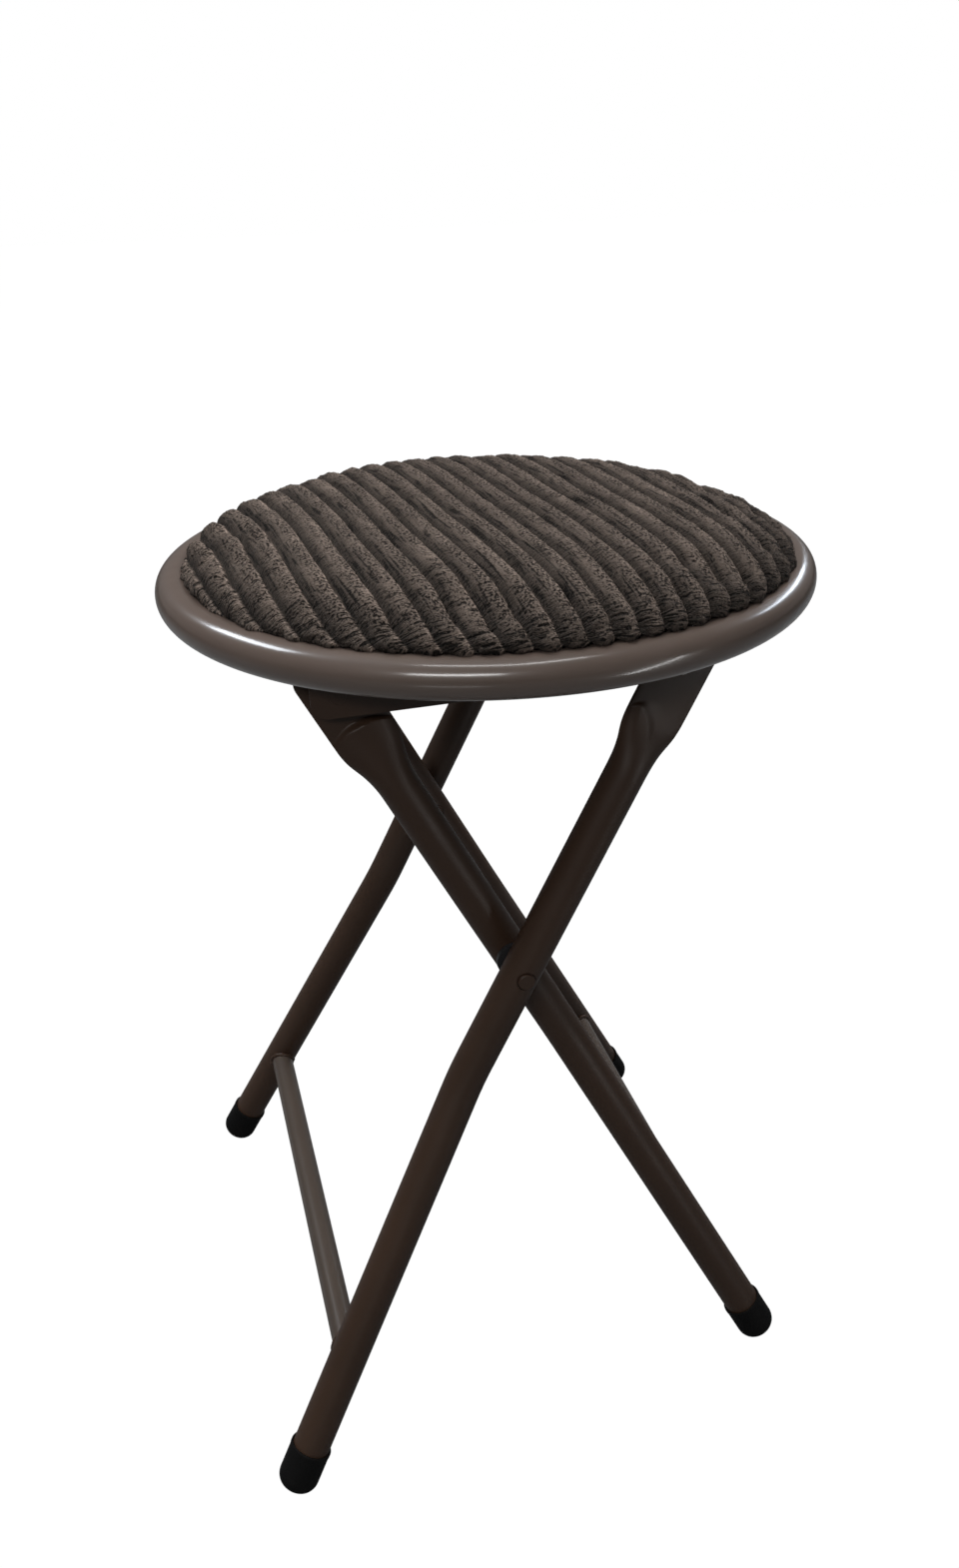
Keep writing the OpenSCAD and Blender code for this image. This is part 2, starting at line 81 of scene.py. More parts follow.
def lower_length(leg):
    """From the bend's corner down to the middle of the sole's rounding."""
    tilt = math.cos(leg["lean"]) * math.cos(SPLAY)
    sole = FOOT_EDGE_R * math.sqrt(1 - tilt * tilt) + SOLE_ROUND - SOLE_FLAT
    return (CROSS[1] - BEND_DROP * math.cos(leg["lean"]) - sole) / tilt


print("lower legs, mm:", [round(lower_length(leg), 1) for leg, _ in FRAMES])

# %% [markdown]
# ## Helpers
# A piece is made from plain lists of points, in millimetres, and turned to metres once. Its object
# stays at the origin, so patterns on Object coordinates stay put. Creases sharper than a set angle
# keep a hard edge; the rest is shaded smooth.


# %% Make a mesh piece
MM = 0.001


def shade(mesh, sharp):
    """Smooth shading, with a hard edge where faces meet at more than an angle in degrees."""
    mesh.shade_smooth()
    mesh.set_sharp_from_angle(angle=math.radians(sharp))


def make_piece(name, points, faces, sharp=40, fix_normals=True):
    mesh = bpy.data.meshes.new(name)
    mesh.from_pydata([tuple(c * MM for c in p) for p in points], [], faces)
    if fix_normals:
        work = bmesh.new()
        work.from_mesh(mesh)
        bmesh.ops.remove_doubles(work, verts=work.verts, dist=1e-6)
        bmesh.ops.recalc_face_normals(work, faces=work.faces)
        work.to_mesh(mesh)
        work.free()
    shade(mesh, sharp)
    piece = bpy.data.objects.new(name, mesh)
    bpy.context.scene.collection.objects.link(piece)
    return piece


def angles(n):
    """n angles, evenly round the circle."""
    return [2 * math.pi * j / n for j in range(n)]


def loft(rings, closed_ends=True):
    """Points and faces between rings of equal length, with a fan over each end."""
    n = len(rings[0])
    points = [p for ring in rings for p in ring]
    faces = []
    for i in range(len(rings) - 1):
        for j in range(n):
            k = (j + 1) % n
            faces.append((i * n + j, (i + 1) * n + j, (i + 1) * n + k, i * n + k))
    if closed_ends:
        for i in (0, len(rings) - 1):
            points.append(tuple(sum((Vector(p) for p in rings[i]), Vector()) / n))
            for j in range(n):
                faces.append((len(points) - 1, i * n + j, i * n + (j + 1) % n))
    return points, faces


def bake(piece):
    """Applies a piece's modifiers and drops them."""
    graph = bpy.context.evaluated_depsgraph_get()
    mesh = bpy.data.meshes.new_from_object(piece.evaluated_get(graph))
    piece.modifiers.clear()
    piece.data = mesh


# %% [markdown]
# ## Geometry Nodes helpers
# Screws, staples and other repeated things are spread by a small node tree with named inputs. The
# tree ends in plain geometry with its material set, and its result is kept as an ordinary mesh.


# %% Build and run a tree
def new_tree(name, inputs):
    tree = bpy.data.node_groups.new(name, "GeometryNodeTree")
    tree.interface.new_socket("Geometry", in_out="OUTPUT", socket_type="NodeSocketGeometry")
    identifiers = {}
    for label, kind in inputs:
        socket = tree.interface.new_socket(label, in_out="INPUT", socket_type=kind)
        identifiers[label] = socket.identifier
    return tree, tree.nodes.new("NodeGroupInput"), tree.nodes.new("NodeGroupOutput"), identifiers


def chain(tree, *nodes):
    """Links each node's first output to the next node's first input."""
    for before, after in zip(nodes, nodes[1:]):
        tree.links.new(before.outputs[0], after.inputs[0])


def grow(name, tree, identifiers, values):
    """Runs a tree on an empty piece and keeps what it made as a plain mesh."""
    piece = bpy.data.objects.new(name, bpy.data.meshes.new(name))
    bpy.context.scene.collection.objects.link(piece)
    modifier = piece.modifiers.new("grow", "NODES")
    modifier.node_group = tree
    for label, value in values.items():
        modifier[identifiers[label]] = value
    bake(piece)
    return piece


# %% [markdown]
# ## Camera
# The photograph was taken from the front left, from a little above the seat, with the camera not
# quite level. A camera could be aimed by eye. This one's place was fitted together with the stool's
# sizes, and the lens and the two small shifts give the photograph's own framing.

# %% Camera
yaw, pitch, roll = 0.2649, 0.4295, -0.0279
stand = Vector((-0.16678, -0.62591, 0.62937))
look = Vector((math.sin(yaw) * math.cos(pitch), math.cos(yaw) * math.cos(pitch), -math.sin(pitch)))
right = Vector((math.cos(yaw), -math.sin(yaw), 0))
above = right.cross(look)
level = math.cos(roll) * right + math.sin(roll) * above
upward = -math.sin(roll) * right + math.cos(roll) * above
camera_data = bpy.data.cameras.new("camera")
camera_data.lens = 31.13
camera_data.sensor_width = 36
camera_data.shift_x = -0.0108
camera_data.shift_y = -0.0245
camera = bpy.data.objects.new("camera", camera_data)
place = Matrix((level, upward, -look)).transposed().to_4x4()
place.translation = stand
camera.matrix_world = place
bpy.context.scene.collection.objects.link(camera)
bpy.context.scene.camera = camera
print("camera at", tuple(round(c, 3) for c in stand))

# %% [markdown]
# ## Floor and light
# The photograph is a studio shot on white. A bright room alone would light the stool evenly, and its
# dark paint would look grey. So the stool sees a dim room, only the camera sees the white one, and a
# wide soft panel overhead does most of the work: the seat and ring are lighter than the legs in their
# shade. Some panels only give light and some are only mirrored. Long narrow ones draw the streaks on
# the ring, and each hangs where the tube mirrors it.

# %% White room
scene = bpy.context.scene
scene.view_settings.view_transform = "Standard"
world = bpy.data.worlds.new("studio")
scene.world = world
world.use_nodes = True
room = world.node_tree
seen = room.nodes.new("ShaderNodeLightPath")
dim, white = room.nodes["Background"], room.nodes.new("ShaderNodeBackground")
dim.inputs["Color"].default_value = (1.0, 0.98, 0.96, 1)
dim.inputs["Strength"].default_value = 0.12
white.inputs["Color"].default_value = (1, 1, 1, 1)
choose = room.nodes.new("ShaderNodeMixShader")
room.links.new(seen.outputs["Is Camera Ray"], choose.inputs["Fac"])
room.links.new(dim.outputs["Background"], choose.inputs[1])
room.links.new(white.outputs["Background"], choose.inputs[2])
room.links.new(choose.outputs["Shader"], room.nodes["World Output"].inputs["Surface"])

FLOOR_HALF = 9.0
corners = [(x * FLOOR_HALF, y * FLOOR_HALF, 0) for x, y in ((-1, -1), (1, -1), (1, 1), (-1, 1))]
floor_mesh = bpy.data.meshes.new("floor")
floor_mesh.from_pydata(corners, [], [(0, 1, 2, 3)])
floor = bpy.data.objects.new("floor", floor_mesh)
scene.collection.objects.link(floor)
print("floor, metres across:", 2 * FLOOR_HALF)


# %% Panels: start and end of the long side, width, power, tint
SEAT_MIDDLE, RING_FRONT = (0, 0, 0.42), (0, -0.15, 0.42)


def light_panel(name, start, end, width, power, tint=(1, 1, 1), target=SEAT_MIDDLE, sheen=True, glow=True):
    """A soft panel that faces its target. Without sheen it isn't mirrored; without glow it only is."""
    start, end = Vector(start), Vector(end)
    middle = (start + end) / 2
    away = (middle - Vector(target)).normalized()
    side = end - start
    length = side.length
    side = (side - away * side.dot(away)).normalized()
    data = bpy.data.lights.new(name, "AREA")
    data.shape = "RECTANGLE"
    data.size, data.size_y = length, width
    data.energy = power
    data.color = tint
    lamp = bpy.data.objects.new(name, data)
    place = Matrix((side, away.cross(side), away)).transposed().to_4x4()
    place.translation = middle
    lamp.matrix_world = place
    lamp.visible_camera = False
    lamp.visible_glossy = sheen
    lamp.visible_diffuse = glow
    scene.collection.objects.link(lamp)


light_panel("overhead", (-1.3, 0.0, 2.3), (0.7, 0.0, 2.3), 1.7, 45, sheen=False)
light_panel("key_back_right", (0.55, 1.55, 1.65), (1.35, 0.75, 1.65), 0.8, 29, sheen=False)
light_panel("overhead_shine", (-1.3, 0.0, 2.3), (0.7, 0.0, 2.3), 1.7, 24, glow=False)
light_panel("window_right", (1.31, 1.31, 0.93), (1.76, 0.36, 1.48), 0.15, 7, (0.80, 0.89, 1.0))
light_panel("strip_back_left", (-1.08, 1.25, 1.54), (-1.29, 0.39, 1.93), 0.34, 20, (0.88, 0.94, 1.0))
light_panel("strip_front_left", (-1.25, -1.43, 1.4), (-0.36, -1.87, 1.46), 0.26, 15)
light_panel("strip_high_left", (-0.62, -0.36, 2.3), (0.05, -0.74, 2.3), 0.13, 5, glow=False)
light_panel("strip_high_right", (0.05, -0.74, 2.3), (0.60, -0.42, 2.3), 0.13, 4, glow=False)
light_panel("strip_low_right", (0.03, -0.42, 0.03), (0.85, -1.10, 0.03), 0.06, 2.6,
            target=RING_FRONT, glow=False)
light_panel("strip_low_left", (-0.58, -0.80, 0.03), (-0.28, -0.97, 0.03), 0.05, 0.15,
            target=RING_FRONT, glow=False)

# %% [markdown]
# ## Shared finish effects
# Several finishes share two effects: a slow mottling that keeps a surface from looking flat, and the
# fine orange peel of spray paint or moulding. Each could be rebuilt in every material. As a shader
# node group with named sockets it is built once, and each material sets its own values.


# %% Node group helpers
def new_group(name, inputs, outputs):
    tree = bpy.data.node_groups.new(name, "ShaderNodeTree")
    for label, default in inputs:
        socket = tree.interface.new_socket(label, in_out="INPUT", socket_type="NodeSocketFloat")
        socket.default_value = default
    for label, kind in outputs:
        tree.interface.new_socket(label, in_out="OUTPUT", socket_type=kind)
    return tree, tree.nodes.new("NodeGroupInput"), tree.nodes.new("NodeGroupOutput")


def add(tree, kind, **values):
    """A node whose settings and input sockets are given by name."""
    node = tree.nodes.new(kind)
    for key, value in values.items():
        if hasattr(node, key):
            setattr(node, key, value)
        else:
            node.inputs[key.replace("_", " ")].default_value = value
    return node


def noise_node(tree, vector, scale, detail=2.0, roughness=0.5):
    node = add(tree, "ShaderNodeTexNoise", Detail=detail, Roughness=roughness)
    tree.links.new(vector, node.inputs["Vector"])
    if isinstance(scale, (int, float)):
        node.inputs["Scale"].default_value = scale
    else:
        tree.links.new(scale, node.inputs["Scale"])
    return node


def math_node(tree, operation, a, b=None, clamp=False):
    node = tree.nodes.new("ShaderNodeMath")
    node.operation = operation
    node.use_clamp = clamp
    for socket, value in zip(node.inputs, (a, b)):
        if value is None:
            continue
        if isinstance(value, (int, float)):
            socket.default_value = value
        else:
            tree.links.new(value, socket)
    return node.outputs[0]


# %% Mottling and orange peel
mottle, m_in, m_out = new_group(
    "mottle", [("Scale", 12.0), ("Low", 0.4), ("High", 0.6)], [("Mask", "NodeSocketFloat")])
coords = mottle.nodes.new("ShaderNodeTexCoord")
cloud = noise_node(mottle, coords.outputs["Object"], m_in.outputs["Scale"], 4.0, 0.55)
spread = add(mottle, "ShaderNodeMapRange", interpolation_type="SMOOTHSTEP")
mottle.links.new(cloud.outputs["Fac"], spread.inputs["Value"])
mottle.links.new(m_in.outputs["Low"], spread.inputs["From Min"])
mottle.links.new(m_in.outputs["High"], spread.inputs["From Max"])
mottle.links.new(spread.outputs["Result"], m_out.inputs["Mask"])

peel, p_in, p_out = new_group("orange_peel", [("Scale", 900.0)], [("Height", "NodeSocketFloat")])
coords = peel.nodes.new("ShaderNodeTexCoord")
cells = noise_node(peel, coords.outputs["Object"], p_in.outputs["Scale"], 1.0, 0.4)
waves = noise_node(peel, coords.outputs["Object"], 60.0, 1.0, 0.4)
fine = math_node(peel, "MULTIPLY", cells.outputs["Fac"], 0.5)
broad = math_node(peel, "MULTIPLY", waves.outputs["Fac"], 0.3)
peel.links.new(math_node(peel, "ADD", fine, broad), p_out.inputs["Height"])
print("groups:", [g.name for g in bpy.data.node_groups])


# %% Material helpers
def new_material(name, color, **sockets):
    material = bpy.data.materials.new(name)
    material.use_nodes = True
    shader = material.node_tree.nodes["Principled BSDF"]
    shader.inputs["Base Color"].default_value = (*color, 1)
    for key, value in sockets.items():
        shader.inputs[key.replace("_", " ")].default_value = value
    return material, material.node_tree, shader


def group_node(tree, group, **values):
    node = tree.nodes.new("ShaderNodeGroup")
    node.node_tree = group
    for key, value in values.items():
        node.inputs[key].default_value = value
    return node


def mix_color(tree, factor, low, high):
    node = tree.nodes.new("ShaderNodeMix")
    node.data_type = "RGBA"
    tree.links.new(factor, node.inputs["Factor"])
    for socket, value in ((node.inputs[6], low), (node.inputs[7], high)):
        if isinstance(value, tuple):
            socket.default_value = (*value, 1)
        else:
            tree.links.new(value, socket)
    return node.outputs[2]


def map_range(tree, value, low, high, from_low=0.0, from_high=1.0):
    node = tree.nodes.new("ShaderNodeMapRange")
    tree.links.new(value, node.inputs["Value"])
    node.inputs["From Min"].default_value = from_low
    node.inputs["From Max"].default_value = from_high
    node.inputs["To Min"].default_value = low
    node.inputs["To Max"].default_value = high
    return node.outputs["Result"]


def add_bump(tree, shader, height, strength, distance):
    bump = tree.nodes.new("ShaderNodeBump")
    bump.inputs["Strength"].default_value = strength
    bump.inputs["Distance"].default_value = distance
    tree.links.new(height, bump.inputs["Height"])
    tree.links.new(bump.outputs["Normal"], shader.inputs["Normal"])
    return bump


# %% [markdown]
# ## Bronze paint
# The steel wears one dark brown enamel. On the legs it is nearly matt, and its colour is darkened to
# stand in for the shade under the seat: painted shade. The crossbars and the ring get a lighter copy,
# painted light, under a thin glossy coat. Three separate materials would drift apart, so one recipe
# makes them all, and each gives it two colours, a range of roughness and the coat's weight.


# %% Bronze paint
def enamel(name, light, dark, rough, coat):
    material, tree, shader = new_material(
        name, light, Roughness=rough[0], Coat_Weight=coat, Coat_Roughness=0.15,
        Specular_IOR_Level=0.24)
    patches = group_node(tree, mottle, Scale=9.0, Low=0.35, High=0.7)
    tree.links.new(mix_color(tree, patches.outputs["Mask"], light, dark), shader.inputs["Base Color"])
    dulled = group_node(tree, mottle, Scale=38.0, Low=0.4, High=0.75)
    tree.links.new(map_range(tree, dulled.outputs["Mask"], *rough), shader.inputs["Roughness"])
    skin = group_node(tree, peel, Scale=500.0)
    add_bump(tree, shader, skin.outputs["Height"], 0.02, 0.0002)
    return material


# Legs: darker colour, painted shade. Crossbars and ring: lighter colour, painted light.
paint = enamel("bronze_paint_shaded", (0.037, 0.0200, 0.0122), (0.0305, 0.0165, 0.0100), (0.44, 0.52), 0.0)
bar_paint_lit = enamel("crossbar_paint", (0.058, 0.044, 0.035), (0.048, 0.036, 0.029), (0.34, 0.42), 0.25)
ring_paint_lit = enamel("ring_enamel_lit", (0.089, 0.067, 0.056), (0.078, 0.057, 0.047), (0.28, 0.36), 0.7)
print("paints:", [m.name for m in (paint, bar_paint_lit, ring_paint_lit)])

# %% [markdown]
# ## Rubber, plastic, zinc, plywood
# The foot caps are soft black rubber with a faint film of dust. Washers and bushes are black nylon,
# screws and studs are zinc plated, and the board is raw plywood seen only from below. None of them
# is one flat colour: mottling moves the roughness of each, and the plywood has its grain.

# %% Rubber
rubber, tree, shader = new_material("black_rubber", (0.003, 0.003, 0.003), Roughness=0.7,
                                    Specular_IOR_Level=0.1)
dust = group_node(tree, mottle, Scale=60.0, Low=0.45, High=0.8)
tree.links.new(mix_color(tree, dust.outputs["Mask"], (0.002, 0.002, 0.002), (0.005, 0.0045, 0.0045)),
               shader.inputs["Base Color"])
tree.links.new(map_range(tree, dust.outputs["Mask"], 0.62, 0.8), shader.inputs["Roughness"])
skin = group_node(tree, peel, Scale=1400.0)
add_bump(tree, shader, skin.outputs["Height"], 0.08, 0.0002)
print("rubber nodes:", len(tree.nodes))

# %% Nylon
nylon, tree, shader = new_material("black_nylon", (0.015, 0.015, 0.016), Roughness=0.45)
worn = group_node(tree, mottle, Scale=120.0, Low=0.4, High=0.7)
tree.links.new(map_range(tree, worn.outputs["Mask"], 0.38, 0.55), shader.inputs["Roughness"])
print("nylon nodes:", len(tree.nodes))

# %% Zinc
zinc, tree, shader = new_material("zinc_plate", (0.55, 0.54, 0.50), Metallic=1.0, Roughness=0.3)
spangle = group_node(tree, mottle, Scale=300.0, Low=0.35, High=0.65)
tree.links.new(mix_color(tree, spangle.outputs["Mask"], (0.50, 0.49, 0.46), (0.60, 0.59, 0.54)),
               shader.inputs["Base Color"])
tree.links.new(map_range(tree, spangle.outputs["Mask"], 0.26, 0.42), shader.inputs["Roughness"])
print("zinc nodes:", len(tree.nodes))

# %% Plywood
plywood, tree, shader = new_material("raw_plywood", (0.45, 0.31, 0.18), Roughness=0.72)
coords = tree.nodes.new("ShaderNodeTexCoord")
turn = add(tree, "ShaderNodeMapping")
turn.inputs["Scale"].default_value = (3.0, 45.0, 20.0)
tree.links.new(coords.outputs["Object"], turn.inputs["Vector"])
figure = noise_node(tree, turn.outputs["Vector"], 6.0, 6.0, 0.6)
rings = math_node(tree, "FRACT", math_node(tree, "MULTIPLY", figure.outputs["Fac"], 7.0))
tree.links.new(mix_color(tree, rings, (0.50, 0.36, 0.21), (0.36, 0.23, 0.12)), shader.inputs["Base Color"])
add_bump(tree, shader, figure.outputs["Fac"], 0.3, 0.0003)
print("materials:", len(bpy.data.materials))

# %% [markdown]
# ## Solids that stay
# Rails, board, bushes, washers, seat rivets and studs have the right CAD shape, so they aren't made
# again. Their loose triangles are merged and shaded smooth across gentle angles by a live node tree,
# so round parts look round and edges stay crisp.

# %% Smooth shading for the carried-over solids
shading = bpy.data.node_groups.new("shade_by_angle", "GeometryNodeTree")
shading.interface.new_socket("Geometry", in_out="INPUT", socket_type="NodeSocketGeometry")
shading.interface.new_socket("Geometry", in_out="OUTPUT", socket_type="NodeSocketGeometry")
merged = add(shading, "GeometryNodeMergeByDistance", Distance=0.000002)
edge_angle = shading.nodes.new("GeometryNodeInputMeshEdgeAngle")
crisp = add(shading, "FunctionNodeCompare", operation="GREATER_THAN")
crisp.inputs["B"].default_value = math.radians(30)
shading.links.new(edge_angle.outputs["Unsigned Angle"], crisp.inputs["A"])
smooth_faces = add(shading, "GeometryNodeSetShadeSmooth", domain="FACE")
hard_edges = add(shading, "GeometryNodeSetShadeSmooth", domain="EDGE")
hard_edges.inputs["Shade Smooth"].default_value = False
shading.links.new(crisp.outputs["Result"], hard_edges.inputs["Selection"])
chain(shading, shading.nodes.new("NodeGroupInput"), merged, smooth_faces, hard_edges,
      shading.nodes.new("NodeGroupOutput"))
print("shading nodes:", len(shading.nodes))

# %% Give the carried-over solids their finishes
finishes = {"paint": paint, "rubber": rubber, "bush": nylon, "zinc": zinc, "board": plywood}
node_slot = {part["node"]: part["material_slot"] for part in frame["record"]["subparts"]}
finished = [name for name in frame["nodes"] if node_slot[name] in finishes]
for name in finished:
    node = frame["nodes"][name]
    node.data.materials.clear()
    node.data.materials.append(finishes[node_slot[name]])
    node.modifiers.new("shading", "NODES").node_group = shading
print("finished solids, some of them replaced later:", len(finished))

# %% [markdown]
# ## Legs with crushed tops
# Each leg is one bent tube. Its top is pressed flat for the pivot: the round tube widens, stays
# bulged, then drops over an arched crease. A curve with a round bevel could make the tube, but not
# this top. A loft through rings makes both: every ring is a circle lower down, and towards the top
# its width grows while its thickness follows the crease.

# %% Shape of the crushed top
TAB_HALF, TAB_T = 14.7, 2.5  # half the flat part's width, and its thickness
TAB_END, TAB_ROUND = ARM + 15, 8.0  # where it ends, and the radius of its corners
FLARE_0, FLARE_1 = 108.0, 147.0  # where the tube starts to widen, and where it has its full width
CREASE_Z, CREASE_ARC, CREASE_LIFT = 148.0, 7.0, 3.0  # top of the crease, its arch, its outer lift
STEP_MIN, STEP_MORE = 1.5, 20.0  # height of the drop at the crease: crisp, and how much softer
RIDGE = 0.7  # where the ridge lies, from 0 in the middle to 1 at the edge
OUTER_TOP = {"inward": -1, "fade": 1.0, "swollen": 2.9}
INNER_TOP = {"inward": 1, "fade": 0.06, "swollen": 5.5}


def ease(t):
    t = min(1.0, max(0.0, t))
    return t * t * (3 - 2 * t)


def flare(z):
    return ease((z - FLARE_0) / (FLARE_1 - FLARE_0))


def top_width(z):
    into_corner = z - (TAB_END - TAB_ROUND)
    if into_corner > 0:
        return TAB_HALF - TAB_ROUND + math.sqrt(max(0.0, TAB_ROUND ** 2 - into_corner ** 2))
    return TUBE_R + (TAB_HALF - TUBE_R) * flare(z)


def top_thickness(s, x, z, inward, fade, swollen):
    """Half the thickness where s is 0 at the tube's edges and 1 on its face. Inward is +1 where +x
    points to the stool's middle: the press left a soft ridge there. Fade says how far the crease
    dies out on the other side, and swollen is half the thickness just below the crease."""
    grow = flare(z)
    toward = max(-1.0, min(1.0, inward * x / top_width(z)))
    bulge = TUBE_R + (swollen - TUBE_R) * grow - TAB_T / 2
    line = CREASE_Z - CREASE_ARC * (x / TAB_HALF) ** 2 + CREASE_LIFT * max(0.0, -toward)
    step = STEP_MIN + fade * min(STEP_MORE, 1.2 * STEP_MORE * max(0.0, 0.78 - toward) ** 1.3)
    if toward < RIDGE:
        wedge = ((1 + toward) / (1 + RIDGE)) ** 0.9
    else:
        wedge = ((1 - toward) / (1 - RIDGE)) ** 0.5
    share = grow ** 2 * (0.3 + 0.6 * fade)
    swell = s ** (1 + grow) * (1 - share) + wedge * share
    return TAB_T / 2 * s ** (1 - 0.75 * grow) + bulge * swell * ease((line - z) / step)


print("crushed tops, mm wide:", 2 * TAB_HALF, "thick:", TAB_T)


# %% Rings of one leg
SIDES, BEND_STEPS = 80, 12
STRAIGHT_AT = (-40, -20, -10, 0, 10, 30, 55, 75, 90)


def round_ring(center, across):
    return [Vector(center) + Vector((TUBE_R * math.cos(a), 0, 0)) + TUBE_R * math.sin(a) * Vector(across)
            for a in angles(SIDES)]


def leg_rings(leg):
    half = leg["half"]
    down = Vector((0, math.sin(SPLAY), -math.cos(SPLAY)))
    across = Vector((0, math.cos(SPLAY), math.sin(SPLAY)))
    corner = Vector((0, half, -BEND_DROP))
    cut = BEND_R * math.tan(SPLAY / 2)
    rings = []
    for t in np.linspace(lower_length(leg) + 1, cut, 14):
        rings.append(round_ring(corner + down * t, across))
    middle = Vector((0, half + BEND_R, -BEND_DROP + cut))
    for k in range(BEND_STEPS - 1, -1, -1):
        a = SPLAY * k / BEND_STEPS
        out = Vector((0, -math.cos(a), -math.sin(a)))
        rings.append(round_ring(middle + out * BEND_R, -out))
    for z in STRAIGHT_AT:
        rings.append(round_ring((0, half, z), (0, 1, 0)))
    return rings + top_rings(half, **(OUTER_TOP if leg is OUTER else INNER_TOP))


def top_rings(half, inward, fade, swollen):
    """Rings close together at the crease. Its arch bends them down at their edges, and they are
    straight again before the round end."""
    steps = [*np.linspace(FLARE_0, CREASE_Z - 12, 16), *np.linspace(CREASE_Z - 11, CREASE_Z + 2, 27),
             *np.linspace(CREASE_Z + 4, TAB_END - TAB_ROUND - 1, 8)]
    steps += [TAB_END - TAB_ROUND + TAB_ROUND * math.sin(math.radians(b)) for b in range(0, 91, 9)]
    rings = []
    for z in steps:
        width = top_width(z)
        bend = ease((z - FLARE_0 - 5) / 28) * (1 - ease((z - CREASE_Z - 2) / 18))
        ring = []
        for a in angles(SIDES):
            s, x = abs(math.sin(a)), width * math.cos(a)
            low = z - CREASE_ARC * bend * (x / TAB_HALF) ** 2
            y = 0.0
            if s > 1e-9:
                y = math.copysign(top_thickness(s, x, low, inward, fade, swollen), math.sin(a))
            ring.append(Vector((x, half + y, low)))
        rings.append(ring)
    return rings


# %% Drill and place the legs
HOLE_R, SEAT_R, SEAT_DEPTH = 3.05, 4.8, 1.5  # pivot holes, and the round seat of the rivet's head


def cut_holes(piece, cutters):
    for cutter in cutters:
        modifier = piece.modifiers.new("hole", "BOOLEAN")
        modifier.operation = "DIFFERENCE"
        modifier.solver = "EXACT"
        modifier.object = cutter
    bake(piece)
    for cutter in cutters:
        bpy.data.objects.remove(cutter)


def plug(at, y0, y1, r):
    """A round plug along Y, used to cut holes; at is a point in the X-Z plane."""
    rings = [[(at[0] + r * math.cos(a), y, at[1] + r * math.sin(a)) for a in angles(48)] for y in (y0, y1)]
    return make_piece("plug", *loft(rings))


def pivot_point(leg):
    return (CROSS[0] + ARM * math.sin(leg["lean"]), CROSS[1] + ARM * math.cos(leg["lean"]))


def build_leg(leg, side, name):
    place = frame_matrix(leg)
    rings = [[place @ Vector((p[0], side * p[1], p[2])) for p in ring] for ring in leg_rings(leg)]
    piece = make_piece(name, *loft(rings), sharp=35)
    through = [side * (leg["half"] - 15), side * (leg["half"] + 15)]
    out = side if leg is OUTER else -side
    seat = side * leg["half"] + out * (TUBE_R - SEAT_DEPTH)
    cut_holes(piece, [plug(CROSS, *through, HOLE_R), plug(pivot_point(leg), *through, HOLE_R),
                      plug(CROSS, seat, seat + out * 6, SEAT_R)])
    shade(piece.data, 35)
    return piece


for leg, kind in FRAMES:
    for side, where in ENDS:
        piece = build_leg(leg, side, f"{kind}_tube_{where}")
        piece.data.materials.clear()
        piece.data.materials.append(paint)
        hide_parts(f"{kind}_leg_{where}")
        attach(piece, leg["body"])
        print(piece.name, len(piece.data.polygons), "faces")

# %% [markdown]
# ## Seat ring
# The ring is one tube rolled to a circle. Blender's torus would do for a perfect one. Made from rings
# of points, it also takes the few shallow dents that handling has left on its inner top edge, where
# they catch the light. It has many sides, so its long reflections show no facets.

# %% Seat ring
AROUND, SECTION = 320, 56
RING_DEGREE, TUBE_DEGREE = 2.6, 0.17  # length of one degree along the ring and round its tube, mm
DENTS = ((-66, 32, 0.35), (-58, 28, 0.25), (-51, 30, 0.3), (-74, 40, 0.2))
DENT_R = 3.0


def dented_radius(a, b):
    """The tube's radius at an angle round the ring and one round the tube. A dent is given by its
    place round the ring, by how far it lies inwards from the top, both in degrees, and its depth."""
    r = TUBE_R
    for spot, inwards, depth in DENTS:
        gap = math.hypot((math.degrees(a) - spot % 360) * RING_DEGREE,
                         (math.degrees(b) - 90 - inwards) * TUBE_DEGREE)
        r -= depth * math.exp(-(gap / DENT_R) ** 2)
    return r


ring_rows = []
for a in angles(AROUND):
    row = []
    for b in angles(SECTION):
        r = dented_radius(a, b)
        q = RING_R + r * math.cos(b)
        row.append((q * math.cos(a), q * math.sin(a), RING_Z + r * math.sin(b)))
    ring_rows.append(row)
ring_rows.append(ring_rows[0])
ring = make_piece("rolled_ring", *loft(ring_rows, closed_ends=False))
ring.data.materials.append(ring_paint_lit)
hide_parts("seat_ring")
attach(ring, "seat")
print("ring:", len(ring.data.polygons), "faces")

# %% [markdown]
# ## Crossbars and their welds
# A thinner tube ties each pair of legs. Its ends are coped to the legs and welded all round, and the
# bead was painted over. A plain cylinder would stop short of the legs or poke into them. Here each
# end follows the leg's surface, and the bead follows the same line where the two tubes meet.


# %% Crossbars
BAR_SINK, BEAD_OUT = 0.6, 0.4  # how far the bar's end enters the leg, and the bead stands off it
BEAD_R, BEAD_STEPS, BEAD_SIDES, RIPPLES = 1.25, 72, 12, 12


def leg_surface_y(leg, x, z):
    """How far out the inner face of the splayed leg lies, at a point beside its axis."""
    depth = math.sqrt(max(0.0, TUBE_R ** 2 - x * x)) / math.cos(SPLAY)
    return leg["half"] + (-z - BEND_DROP) * math.tan(SPLAY) - depth


def bar_ring(leg, side, inset, r=BAR_R, n=64):
    drop = (CROSS[1] - BAR_H) / math.cos(leg["lean"])
    ring = []
    for a in angles(n):
        x, z = r * math.cos(a), -drop + r * math.sin(a)
        ring.append((x, side * (leg_surface_y(leg, x, z) + inset), z))
    return ring


